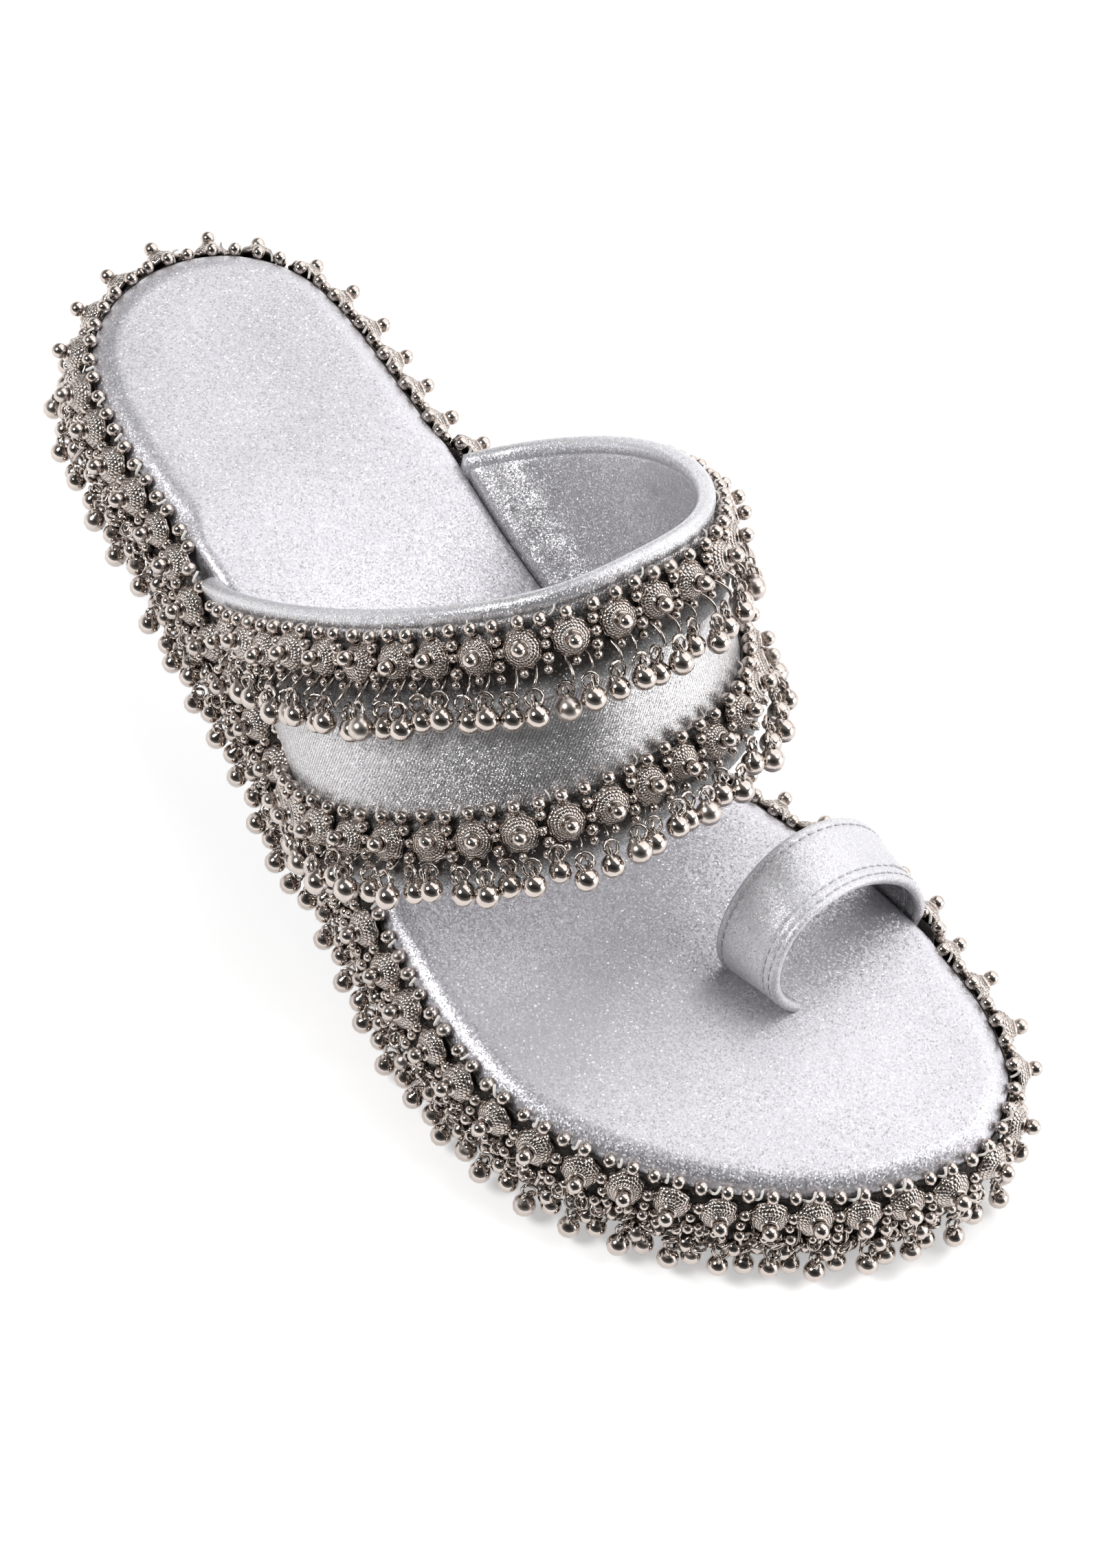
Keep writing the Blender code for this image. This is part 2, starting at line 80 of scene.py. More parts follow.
def splineRing(points, steps):
    pts = np.asarray(points, float)
    ring = []
    for i in range(len(pts)):
        q = [pts[(i + k - 1) % len(pts)] for k in range(4)]
        t = [0.0]
        for k in range(3):
            t.append(t[-1] + math.sqrt(np.linalg.norm(q[k + 1] - q[k])))
        for step in range(steps):
            x = t[1] + (t[2] - t[1]) * step / steps
            a = [q[k] + (q[k + 1] - q[k]) * (x - t[k]) / (t[k + 1] - t[k]) for k in range(3)]
            b = [a[k] + (a[k + 1] - a[k]) * (x - t[k]) / (t[k + 2] - t[k]) for k in range(2)]
            ring.append(b[0] + (b[1] - b[0]) * (x - t[1]) / (t[2] - t[1]))
    return np.array(ring + ring[:1])


lateralPoints = [(row[2], row[0]) for row in soleShape["stations"]]
medialPoints = [(row[1], row[0]) for row in reversed(soleShape["stations"])]
ringPoints = splineRing([soleShape["heelTip"]] + lateralPoints + [soleShape["toeTip"]] + medialPoints,
                        soleShape["stepsEach"])
ringArc = runLength(ringPoints)
rimLength = ringArc[-1]
rimHalf = ringArc[soleShape["stepsEach"] * (len(lateralPoints) + 1)]   # heel to toe along the lateral side


def rimAt(s):
    s = np.mod(s, rimLength)
    return np.stack([np.interp(s, ringArc, ringPoints[:, k]) for k in (0, 1)], -1)


def rimNormal(s):
    d = rimAt(np.asarray(s) + 1.5) - rimAt(np.asarray(s) - 1.5)
    return unitRows(np.stack([d[..., 1], -d[..., 0]], -1))


def rimHeight(y):
    share = (y - soleShape["liftFrom"]) / (soleShape["liftTo"] - soleShape["liftFrom"])
    return soleShape["rimFore"] + soleShape["heelLift"] * (1.0 - ease(share))


def groundHeight(y):
    run = soleShape["toeY"] - soleShape["springFrom"]
    return soleShape["toeSpring"] * np.maximum(0.0, (y - soleShape["springFrom"]) / run) ** 2


def rimSide(y, lateral):
    low, high = (0.0, rimHalf) if lateral else (rimHalf, rimLength)
    for _ in range(50):
        mid = 0.5 * (low + high)
        if (rimAt(mid)[1] < y) == lateral:
            low = mid
        else:
            high = mid
    return 0.5 * (low + high)


def frameShift():
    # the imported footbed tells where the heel-based millimetres lie in the frame
    low, high = (np.array(corner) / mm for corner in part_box("footbed"))
    wall = ringPoints + rimNormal(ringArc) * soleShape["wallOut"]
    middle = 0.5 * (low + high)[:2] - 0.5 * (wall.min(axis=0) + wall.max(axis=0))
    return np.array([middle[0], middle[1], 0.0])


centreShift = frameShift()
print("rim line", round(float(rimLength), 1), "mm round, shift", centreShift.round(2).tolist())


# Mesh helpers

def finishObject(name, mesh):
    obj = bpy.data.objects.new(name, mesh)
    bpy.context.scene.collection.objects.link(obj)
    return obj


def faceOutwards(mesh):
    work = bmesh.new()
    work.from_mesh(mesh)
    bmesh.ops.recalc_face_normals(work, faces=work.faces)
    work.to_mesh(mesh)
    work.free()


def meshFromMm(name, verts, faces, finishes, faceFinish=None, cloth=None):
    mesh = bpy.data.meshes.new(name)
    points = (np.asarray(verts, float) + centreShift) * mm
    mesh.from_pydata(points.tolist(), [], [list(f) for f in faces])
    for finish in finishes:
        mesh.materials.append(finish)
    if faceFinish is not None:
        mesh.polygons.foreach_set("material_index", np.asarray(faceFinish, np.int32))
    mesh.polygons.foreach_set("use_smooth", np.ones(len(mesh.polygons), bool))
    if cloth is not None:
        layer = mesh.uv_layers.new(name="cloth")
        corner = np.empty(len(mesh.loops), np.int32)
        mesh.loops.foreach_get("vertex_index", corner)
        layer.data.foreach_set("uv", np.asarray(cloth, float)[corner].ravel())
    faceOutwards(mesh)
    return finishObject(name, mesh)


def gridFaces(rows, cols, closedCols, closedRows=False):
    faces = []
    for r in range(rows if closedRows else rows - 1):
        q = (r + 1) % rows
        for c in range(cols if closedCols else cols - 1):
            d = (c + 1) % cols
            faces.append((r * cols + c, r * cols + d, q * cols + d, q * cols + c))
    return faces


# Shader helpers and groups

def newGroup(name, inputs, outputs):
    group = bpy.data.node_groups.new(name, "ShaderNodeTree")
    for way, sockets in (("INPUT", inputs), ("OUTPUT", outputs)):
        for label, kind in sockets:
            group.interface.new_socket(name=label, in_out=way, socket_type="NodeSocket" + kind)
    return group, group.nodes.new("NodeGroupInput"), group.nodes.new("NodeGroupOutput")


def plug(links, node, index, value):
    if hasattr(value, "links"):
        links.new(value, node.inputs[index])
    elif value is not None:
        node.inputs[index].default_value = value


def makeNode(tree, kind, inputs, **settings):
    node = tree.nodes.new(kind)
    for label, value in settings.items():
        setattr(node, label, value)
    for label, value in inputs.items():
        plug(tree.links, node, label, value)
    return node


def mathNode(tree, op, a, b=None, c=None, clamp=False):
    return makeNode(tree, "ShaderNodeMath", {0: a, 1: b, 2: c}, operation=op, use_clamp=clamp).outputs[0]


def vectorNode(tree, op, a, b=None, scale=None):
    inputs = {0: a, 1: b, "Scale": scale}
    return makeNode(tree, "ShaderNodeVectorMath", inputs, operation=op).outputs["Vector"]


def splitNode(tree, vector):
    return makeNode(tree, "ShaderNodeSeparateXYZ", {0: vector}).outputs


def mixColour(tree, share, a, b, blend="MIX"):
    node = tree.nodes.new("ShaderNodeMix")
    node.data_type = "RGBA"
    node.blend_type = blend
    for label, value in (("Factor", share), ("A", a), ("B", b)):
        sockets = [s for s in node.inputs if s.name == label and s.enabled]
        if hasattr(value, "links"):
            tree.links.new(value, sockets[0])
        else:
            sockets[0].default_value = value
    return [s for s in node.outputs if s.enabled][0]


def noiseNode(tree, place, scale, detail):
    inputs = {"Vector": place, "Scale": scale, "Detail": detail}
    return makeNode(tree, "ShaderNodeTexNoise", inputs).outputs["Fac"]


def reliefNode(tree, height, strength, deep, normal=None, invert=False):
    inputs = {"Height": height, "Strength": strength, "Distance": deep, "Normal": normal}
    return makeNode(tree, "ShaderNodeBump", inputs, invert=invert).outputs["Normal"]


def clothMap(tree):
    return makeNode(tree, "ShaderNodeUVMap", {}, uv_map="cloth").outputs["UV"]


def ownPlace(tree):
    return makeNode(tree, "ShaderNodeTexCoord", {}).outputs["Object"]


glitter = {"patchScale": 70.0, "patchDetail": 3.0, "leanPower": 3.0, "leanGain": 1.5, "leanLow": 0.30}


def buildGlitterGroup():
    # every fleck leans its own way, so some catch the light and some go dark
    group, gin, gout = newGroup("glitterFlecks", [
        ("Place", "Vector"), ("Surface Normal", "Vector"), ("Fleck Size", "Float"), ("Fleck Lean", "Float"),
        ("Sparkle", "Float"), ("Dullness", "Float"),
    ], [("Shade", "Float"), ("Spark", "Float"), ("Polish", "Float"), ("Normal", "Vector")])
    fine = mathNode(group, "DIVIDE", 1.0, gin.outputs["Fleck Size"])
    cells = makeNode(group, "ShaderNodeTexVoronoi", {"Vector": gin.outputs["Place"], "Scale": fine})
    split = makeNode(group, "ShaderNodeSeparateColor", {"Color": cells.outputs["Color"]})
    # sparks gather in loose patches
    patches = noiseNode(group, gin.outputs["Place"], glitter["patchScale"], glitter["patchDetail"])
    gate = mathNode(group, "MULTIPLY", mathNode(group, "MULTIPLY", patches, 2.0), gin.outputs["Sparkle"])
    spark = mathNode(group, "LESS_THAN", split.outputs["Red"], gate)
    dull = mathNode(group, "MULTIPLY", split.outputs["Green"], gin.outputs["Dullness"])
    lean = vectorNode(group, "SUBTRACT", cells.outputs["Color"], (0.5, 0.5, 0.5))
    few = mathNode(group, "POWER", split.outputs["Blue"], glitter["leanPower"])
    few = mathNode(group, "MULTIPLY_ADD", few, glitter["leanGain"], glitter["leanLow"])
    lean = vectorNode(group, "SCALE", lean, scale=mathNode(group, "MULTIPLY", few, gin.outputs["Fleck Lean"]))
    normal = vectorNode(group, "NORMALIZE", vectorNode(group, "ADD", lean, gin.outputs["Surface Normal"]))
    for label, value in (("Shade", mathNode(group, "SUBTRACT", 1.0, dull)), ("Spark", spark),
                         ("Polish", split.outputs["Blue"]), ("Normal", normal)):
        group.links.new(value, gout.inputs[label])
    return group


def buildTwillGroup():
    # fine diagonal ribs of the coated cloth, read from the piece's own cloth map
    group, gin, gout = newGroup("twillRibs", [("Cloth", "Vector"), ("Rib Count", "Float")],
                                [("Rib", "Float")])
    inputs = {"Vector": gin.outputs["Cloth"], "Scale": gin.outputs["Rib Count"],
              "Distortion": 0.8, "Detail": 2.0, "Detail Scale": 4.0}
    wave = makeNode(group, "ShaderNodeTexWave", inputs, bands_direction="DIAGONAL")
    group.links.new(wave.outputs["Fac"], gout.inputs["Rib"])
    return group


glitterGroup = buildGlitterGroup()
twillGroup = buildTwillGroup()


def placeGroup(tree, group, values):
    return makeNode(tree, "ShaderNodeGroup", values, node_tree=group).outputs


def newFinish(name):
    mat = bpy.data.materials.new(name)
    mat.use_nodes = True
    return mat, mat.node_tree, mat.node_tree.nodes["Principled BSDF"]


def paintShader(tree, shader, values):
    for label, value in values.items():
        plug(tree.links, shader, label, value)


def buildSilverCloth(name, look):
    mat, tree, shader = newFinish(name)
    place = ownPlace(tree)
    surface = makeNode(tree, "ShaderNodeNewGeometry", {}).outputs["Normal"]
    flecks = placeGroup(tree, glitterGroup, {
        "Place": place, "Surface Normal": surface, "Fleck Size": look["fleck"], "Fleck Lean": look["lean"],
        "Sparkle": look["sparkle"], "Dullness": look["dullness"]})
    patches = noiseNode(tree, place, look["toneScale"], 4.0)
    tone = mathNode(tree, "MULTIPLY_ADD", patches, look["toneSpread"], look["toneLow"])
    shade = mathNode(tree, "MULTIPLY", tone, flecks["Shade"])
    height = noiseNode(tree, place, look["creaseScale"], 3.0)
    if look["twill"] > 0.0:
        rib = placeGroup(tree, twillGroup, {"Cloth": clothMap(tree), "Rib Count": look["ribs"]})["Rib"]
        shade = mathNode(tree, "SUBTRACT", shade, mathNode(tree, "MULTIPLY", rib, look["twill"]))
        height = mathNode(tree, "SUBTRACT", height, mathNode(tree, "MULTIPLY", rib, look["ribDeep"]))
    relief = reliefNode(tree, height, look["bump"], look["creaseDeep"], flecks["Normal"])
    base = (*look["colour"], 1.0)
    if "fadeTo" in look:   # the tape is dark at its top as painted shade under the trim, and its lower edge goes over into the strap's silver
        steep = look["fadeSteep"]
        share = mathNode(tree, "MULTIPLY_ADD", splitNode(tree, clothMap(tree))["Y"], steep, 1.0 - steep, True)
        base = mixColour(tree, share, base, (*look["fadeTo"], 1.0))
    colour = mixColour(tree, 1.0, base, shade, "MULTIPLY")
    colour = mixColour(tree, flecks["Spark"], colour, (1.0, 1.0, 1.0, 1.0))
    polish = look["polish"]
    rough = mathNode(tree, "MULTIPLY_ADD", flecks["Polish"], polish, look["rough"] - 0.5 * polish)
    paintShader(tree, shader, {"Base Color": colour, "Roughness": rough, "Normal": relief,
                               "Metallic": look["metal"]})
    return mat


plainSilver = {   # what the silver cloths have in common, unless their own look says otherwise
    "fleck": 0.0002, "sparkle": 0.015, "dullness": 0.20, "rough": 0.42, "polish": 0.24, "metal": 0.80,
    "bump": 0.20, "creaseDeep": 0.0006, "toneScale": 38.0, "toneSpread": 0.22, "toneLow": 0.88,
    "twill": 0.0, "ribs": 89.0, "ribDeep": 0.12,
}
# what both tapes under the trims have in common: partly real grey tape, partly painted shade where the trims
# shade them
tapeAndShade = {"lean": 1.1, "sparkle": 0.01, "dullness": 0.6, "bump": 0.3, "creaseScale": 300.0}
silverLooks = {
    "footbedSilver": {"colour": (0.65, 0.638, 0.675), "fleck": 0.00028, "lean": 0.55, "sparkle": 0.016,
                      "bump": 0.12, "creaseScale": 130.0},
    "strapSilver": {"colour": (0.87, 0.85, 0.868), "fleck": 0.00017, "lean": 0.70, "sparkle": 0.02,
                    "dullness": 0.42, "rough": 0.36, "metal": 0.86, "creaseScale": 150.0, "twill": 0.36},
    "hemSilver": {"colour": (0.80, 0.793, 0.826), "lean": 0.70, "dullness": 0.25, "rough": 0.38,
                  "metal": 0.75, "creaseScale": 220.0, "twill": 0.18},
    "liningSilver": {"colour": (0.56, 0.55, 0.57), "lean": 0.75, "dullness": 0.22, "rough": 0.40,
                     "bump": 0.75, "creaseScale": 170.0},
    "loopSilver": {"colour": (0.75, 0.738, 0.768), "lean": 0.75, "sparkle": 0.012, "dullness": 0.30,
                   "rough": 0.50, "metal": 0.58, "bump": 0.25, "creaseScale": 260.0},
    "wedgeSilver": {"colour": (0.74, 0.732, 0.766), "lean": 0.6, "creaseScale": 120.0},
    # tape under the strap trims: dark near the florets and wires as painted shade, going over into the
    # strap's silver at its lower edge
    "strapTapeAndShade": {**tapeAndShade, "colour": (0.13, 0.123, 0.12), "rough": 0.44, "metal": 0.75,
                  "fadeTo": (0.56, 0.565, 0.58), "fadeSteep": 3.6},
    # tape of the sole trim: nearly black as painted shade in the gap between the florets and the bells
    "soleTapeAndShade": {**tapeAndShade, "colour": (0.10, 0.089, 0.081), "rough": 0.55, "metal": 0.40},
}
silver = {name: buildSilverCloth(name, {**plainSilver, **look}) for name, look in silverLooks.items()}

nickelLook = {
    "bright": (0.565, 0.502, 0.462), "recess": (0.03, 0.023, 0.019), "rough": 0.075,
    "granulesRound": 23.0, "granuleRow": 0.76, "granuleDeep": 0.0004, "unevenScale": 1.6, "uneven": 0.5,
    "gapSteep": 9.0, "gapFrom": 0.2, "gapDark": 0.85, "stainScale": 420.0, "stain": 0.5, "stainFrom": 0.44,
    "darkRough": 0.30, "grainRough": 0.05, "tarnishFew": 6.0, "tarnishRough": 0.2,
}


def granuleRows(tree, seat):
    # small balls in staggered rows, worked out from the place on the floret's own disc
    x, y, z = splitNode(tree, seat)
    square = mathNode(tree, "ADD", mathNode(tree, "MULTIPLY", x, x), mathNode(tree, "MULTIPLY", y, y))
    wobble = noiseNode(tree, seat, nickelLook["unevenScale"], 1.0)
    wobble = mathNode(tree, "MULTIPLY_ADD", wobble, nickelLook["uneven"], -0.5 * nickelLook["uneven"])
    # the dome rises at about 45 degrees
    slant = mathNode(tree, "SUBTRACT", mathNode(tree, "SQRT", square), z)
    row = mathNode(tree, "MULTIPLY_ADD", slant, math.sqrt(0.5) / nickelLook["granuleRow"], wobble)
    stagger = mathNode(tree, "MULTIPLY", mathNode(tree, "FLOOR", row), 0.5)
    perRadian = nickelLook["granulesRound"] / (2.0 * math.pi)
    around = mathNode(tree, "MULTIPLY_ADD", mathNode(tree, "ARCTAN2", y, x), perRadian, stagger)
    sides = []
    for value in (row, around):
        part = mathNode(tree, "SUBTRACT", mathNode(tree, "FRACT", value), 0.5)
        sides.append(mathNode(tree, "MULTIPLY", part, part))
    return mathNode(tree, "ADD", *sides)


def buildNickel():
    mat, tree, shader = newFinish("oxidisedNickel")
    look = nickelLook
    masks = {}
    for label in ("patina", "grain", "tarnish", "seat"):
        node = makeNode(tree, "ShaderNodeAttribute", {}, attribute_name=label)
        masks[label] = node.outputs["Vector" if label == "seat" else "Fac"]
    stain = noiseNode(tree, ownPlace(tree), look["stainScale"], 3.0)
    stain = mathNode(tree, "MULTIPLY_ADD", stain, look["stain"], -look["stain"] * look["stainFrom"], True)
    dark = mathNode(tree, "ADD", masks["patina"], stain, clamp=True)
    far = mathNode(tree, "MULTIPLY", granuleRows(tree, masks["seat"]), masks["grain"])
    gaps = mathNode(tree, "MULTIPLY_ADD", far, look["gapSteep"], -look["gapSteep"] * look["gapFrom"], True)
    dark = mathNode(tree, "MULTIPLY_ADD", gaps, look["gapDark"], dark, True)
    colour = mixColour(tree, dark, (*look["bright"], 1.0), (*look["recess"], 1.0))
    dull = mathNode(tree, "POWER", masks["tarnish"], look["tarnishFew"])
    dull = mathNode(tree, "MULTIPLY", dull, look["tarnishRough"])
    rough = mathNode(tree, "MULTIPLY_ADD", masks["grain"], look["grainRough"], look["rough"])
    rough = mathNode(tree, "MULTIPLY_ADD", dark, look["darkRough"], rough)
    relief = reliefNode(tree, far, 1.0, look["granuleDeep"], invert=True)
    paintShader(tree, shader, {"Base Color": colour, "Roughness": mathNode(tree, "ADD", rough, dull),
                               "Normal": relief, "Metallic": 1.0})
    return mat


def buildGrained(name, dark, light, scale, rough, bump):
    mat, tree, shader = newFinish(name)
    grain = noiseNode(tree, ownPlace(tree), scale, 5.0)
    paintShader(tree, shader, {
        "Base Color": mixColour(tree, grain, (*dark, 1.0), (*light, 1.0)),
        "Roughness": mathNode(tree, "MULTIPLY_ADD", grain, 0.2, rough - 0.1),
        "Normal": reliefNode(tree, grain, bump, 0.0004)})
    return mat


nickel = buildNickel()
rubber = buildGrained("outsoleRubber", (0.03, 0.028, 0.026), (0.08, 0.075, 0.07), 900.0, 0.72, 0.4)
thread = buildGrained("creamThread", (0.78, 0.73, 0.67), (0.98, 0.96, 0.93), 2600.0, 0.75, 0.5)
seamThread = buildGrained("silverThread", (0.42, 0.42, 0.44), (0.72, 0.72, 0.74), 2600.0, 0.5, 0.5)
print("finishes ready")


# Sole: outsole, wedge and padded footbed, each a stack of rings round the rim line

footbedPad = {
    "rollWide": 5.6, "rollDeep": 4.2, "tightWide": 2.6, "tightDeep": 1.6, "rollSteps": 9,
    "dish": 0.6, "dishRun": 16.0, "swell": 0.14, "swellRun": 10.0, "swellWaves": (0.11, 0.05, 0.045, 0.6),
    "side": [(0.2, 12.0), (1.3, 11.8), (1.75, 11.2), (1.8, 8.0)],   # outward from the rim line, drop below it
    "halfSteps": 140, "columns": 34,
}
wedgeCover = {   # outward from the rim line, share of the wedge's height
    "edge": [(-4.4, 0.0), (-4.0, 0.02), (-3.8, 0.12), (-3.0, 0.35), (-1.7, 0.62), (-0.4, 0.85), (0.5, 0.97),
             (0.6, 0.99), (0.3, 1.0)], "halfSteps": 110}
outsolePlate = {   # outward from the rim line, height above the ground line
    "edge": [(-5.2, 0.0), (-4.3, 0.25), (-3.7, 1.0), (-3.6, 1.6), (-3.6, 3.7), (-3.9, 4.0)], "halfSteps": 110}
strapSpans = {"lateral": [(64.0, 122.0)], "medial": [(73.0, 118.0), (188.0, 210.0)],
              "padRamp": 9.0, "trimRamp": 3.0}


def strapHere(s, ramp):
    # one where a strap end lies against the sole wall, easing to nothing beside it
    y = rimAt(s)[1]
    spans = strapSpans["lateral" if s % rimLength < rimHalf else "medial"]
    return max(float(ease((y - low) / ramp + 1.0) * ease((high - y) / ramp + 1.0)) for low, high in spans)


def padDrop(points):
    # how far the padded top lies below the rim inside the rolled edge
    gap = np.linalg.norm(points[:, None, :2] - ringPoints[None, ::4], axis=2).min(axis=1)
    inside = np.maximum(gap - footbedPad["rollWide"] + soleShape["wallOut"], 0.0)
    sink = footbedPad["dish"] * (1.0 - np.exp(-(inside / footbedPad["dishRun"]) ** 2))
    across, along, slow, start = footbedPad["swellWaves"]
    wave = np.sin(across * points[:, 0] + along * points[:, 1]) * np.sin(slow * points[:, 1] + start)
    return sink - footbedPad["swell"] * wave * ease(inside / footbedPad["swellRun"])


def padRow(turn):
    # one ring of the rolled edge, turned from the side wall (0) to the top (1)
    angle = 0.5 * math.pi * turn

    def row(s, y):
        tight = strapHere(s, strapSpans["padRamp"])
        wide = footbedPad["rollWide"] + (footbedPad["tightWide"] - footbedPad["rollWide"]) * tight
        deep = footbedPad["rollDeep"] + (footbedPad["tightDeep"] - footbedPad["rollDeep"]) * tight
        out = soleShape["wallOut"] - wide * (1.0 - math.cos(angle))
        return out, rimHeight(y) - deep * (1.0 - math.sin(angle))
    return row


def plainRow(out, height):
    return lambda s, y: (out, height(y))


def soleSolid(name, profile, halfSteps, columns, finish, topDrop=None):
    # profile: one function a ring, giving the distance out from the rim line and the height
    s = np.concatenate([np.linspace(0.0, rimHalf, halfSteps + 1),
                        np.linspace(rimHalf, rimLength, halfSteps + 1)[1:-1]])
    rim, normal = rimAt(s), rimNormal(s)
    count = len(s)
    verts = []
    for row in profile:
        for at, r, n in zip(s, rim, normal):
            out, height = row(at, r[1])
            verts.append(np.append(r + n * out, height))
    faces = gridFaces(len(profile), count, True)
    for level, cols in ((0, 2), (len(profile) - 1, columns)):
        first = level * count
        rows = []
        for k in range(1, halfSteps):
            a, b = verts[first + k], verts[first + count - k]
            inner = list(range(len(verts), len(verts) + cols - 1))
            verts += [a + (b - a) * j / cols for j in range(1, cols)]
            rows.append([first + k] + inner + [first + count - k])
        for low, high in zip(rows, rows[1:]):
            faces += [(low[j], high[j], high[j + 1], low[j + 1]) for j in range(cols)]
        for j in range(cols):
            faces.append((first, rows[0][j], rows[0][j + 1]))
            faces.append((first + halfSteps, rows[-1][j + 1], rows[-1][j]))
    verts = np.array(verts)
    if topDrop:
        top = len(profile) * count + halfSteps - 1   # vertices inside the last ring
        verts[top:, 2] = rimHeight(verts[top:, 1]) - topDrop(verts[top:])
    return meshFromMm(name, verts, faces, [finish])


def wedgeLevel(share):
    def height(y):
        low = groundHeight(y) + soleShape["outsoleThick"] + soleShape["gap"]
        high = rimHeight(y) - soleShape["footbedThick"] - soleShape["gap"]
        return low + (high - low) * share
    return height


def underRim(drop):
    return lambda y: rimHeight(y) - drop


def overGround(rise):
    return lambda y: groundHeight(y) + rise


padRows = [plainRow(out, underRim(drop)) for out, drop in footbedPad["side"]]
padRows += [padRow(k / footbedPad["rollSteps"]) for k in range(footbedPad["rollSteps"] + 1)]
footbed = soleSolid("footbedPad", padRows, footbedPad["halfSteps"], footbedPad["columns"],
                    silver["footbedSilver"], padDrop)
wedge = soleSolid("wedgeCover", [plainRow(out, wedgeLevel(part)) for out, part in wedgeCover["edge"]],
                  wedgeCover["halfSteps"], 2, silver["wedgeSilver"])
outsole = soleSolid("outsolePlate", [plainRow(out, overGround(rise)) for out, rise in outsolePlate["edge"]],
                    outsolePlate["halfSteps"], 2, rubber)
print("sole ready")


# Strap band and toe loop: leaning arches ruled between a rear and a front edge line

archShape = {
    "fine": 400, "even": 241, "bulgeHigh": 0.8, "bulgeFlat": 0.3, "frameStep": 0.012,   # edge lines
    "pressRun": 0.2, "pressReach": 1.25, "pressSteps": 26, "snugRun": 12.0, "tailSteps": 4,
}


def archLine(start, end, rise, lean, square, skew, bulgeLateral, bulgeMedial):
    t = np.linspace(0.0, math.pi, archShape["fine"])
    across = np.sign(np.cos(t)) * np.abs(np.cos(t)) ** (2.0 / square)
    up = np.minimum(np.abs(np.sin(t)) ** (2.0 / square), 1.0)
    p = 0.5 * (start + end) + 0.5 * (start - end) * across[:, None]
    bulge = np.where(across > 0.0, bulgeLateral, -bulgeMedial)
    swell = np.sin(math.pi * up ** archShape["bulgeHigh"]) * np.abs(across) ** archShape["bulgeFlat"]
    p[:, 0] += skew * up + bulge * swell
    p[:, 1] += rise * math.tan(math.radians(lean)) * up
    p[:, 2] += rise * up
    arc = runLength(p)
    even = np.linspace(0.0, arc[-1], archShape["even"])
    return np.stack([np.interp(even, arc, p[:, k]) for k in range(3)], -1)


def wallFoot(y, lateral, out):
    s = rimSide(y, lateral)
    x, py = rimAt(s) + rimNormal(s) * out
    return np.array([x, py, rimHeight(rimAt(s)[1])])


def wallAcross(y, lateral, out):
    # x of the line at that distance outside the rim, where it passes y
    at = y
    for _ in range(4):
        x, there = wallFoot(at, lateral, out)[:2]
        at += y - there
    return x


class RuledArch:
    # u runs from the lateral foot to the medial one, w from the rear edge line to the front one
    # with a stand, both feet are pressed to the curve of the sole wall at that distance

    def __init__(self, rear, fore, stand=None):
        self.rear, self.fore = rear, fore
        self.u = np.linspace(0.0, 1.0, len(rear))
        self.w = np.linspace(0.0, archShape["pressReach"], archShape["pressSteps"])
        self.press = np.zeros((2, len(self.w)))
        if stand is not None:
            for k, lateral in ((0, True), (-1, False)):
                feet = rear[k] + (fore[k] - rear[k]) * self.w[:, None]
                self.press[k] = [wallAcross(foot[1], lateral, stand) - foot[0] for foot in feet]

    def at(self, u, w):
        u = np.clip(u, 0.0, 1.0)
        a, b = (np.stack([np.interp(u, self.u, line[:, k]) for k in range(3)], -1)
                for line in (self.rear, self.fore))
        p = a + (b - a) * np.asarray(w)[..., None]
        for k, far in ((0, u), (-1, 1.0 - u)):
            near = 1.0 - ease(far / archShape["pressRun"])
            p[..., 0] += np.interp(w, self.w, self.press[k]) * near
        return p

    def frame(self, u, w):
        u, w = np.asarray(u, float), np.asarray(w, float)
        step = archShape["frameStep"]
        along = unitRows(self.at(u + step, w) - self.at(u - step, w))
        ruling = self.at(u, np.ones_like(w)) - self.at(u, np.zeros_like(w))
        ahead = unitRows(ruling)
        out = unitRows(np.cross(ahead, along))
        return self.at(u, w), along, out, ahead, np.linalg.norm(ruling, axis=-1)


strapBand = {
    # y lateral, y medial, rise, lean, squareness, skew, lateral bulge, medial bulge
    "rear": (70.5, 75.5, 59.0, 49.0, 3.25, -7.0, 4.5, 12.5),
    "fore": (111.0, 111.5, 37.5, 56.0, 3.2, -1.5, 11.5, 10.5),
    "thick": 2.4, "hem": 3.4, "reach": 1.19, "tuck": 10.0, "skive": 1.2, "snug": (0.6, 2.2), "steps": 190,
    "rearSpare": 0.3, "foreSpare": 0.9, "hemStrips": 8,
}
toeLoop = {
    # x lateral, y lateral, y medial, rise, lean, squareness, skew, lateral bulge, medial bulge
    "rear": (-3.0, 190.0, 193.5, 26.0, -14.5, 2.2, 2.5, 2.5, 1.5),
    "fore": (-7.5, 207.0, 207.0, 22.5, -18.0, 2.4, 9.5, 3.0, 2.5),
    "thick": 2.2, "slit": 3.5, "tuck": 8.0, "skive": 1.2, "steps": 100,
    "spare": 0.1, "sink": 0.2, "edgeStrips": 2,
    "rearSeam": 1.75, "frontSeams": (1.65, 3.35), "seamHalf": 0.3, "seamDeep": 0.16,
    "stitch": 2.3, "stitchEnds": (0.03, 0.97), "stitchSink": 0.1,
}


def standOff(thick, spare):
    # how far outside the rim line the middle of a wall of that thickness stands
    return soleShape["wallOut"] + soleShape["gap"] + 0.5 * thick + spare


def bandEdge(row, thick, spare):
    out = standOff(thick, spare)
    return archLine(wallFoot(row[0], True, out), wallFoot(row[1], False, out), *row[2:])


def loopEdge(row):
    # the lateral leg stands in the footbed's slit, the medial one outside the sole wall
    start = np.array([row[0], row[1], rimHeight(row[1]) - toeLoop["sink"]])
    return archLine(start, wallFoot(row[2], False, standOff(toeLoop["thick"], toeLoop["spare"])), *row[3:])


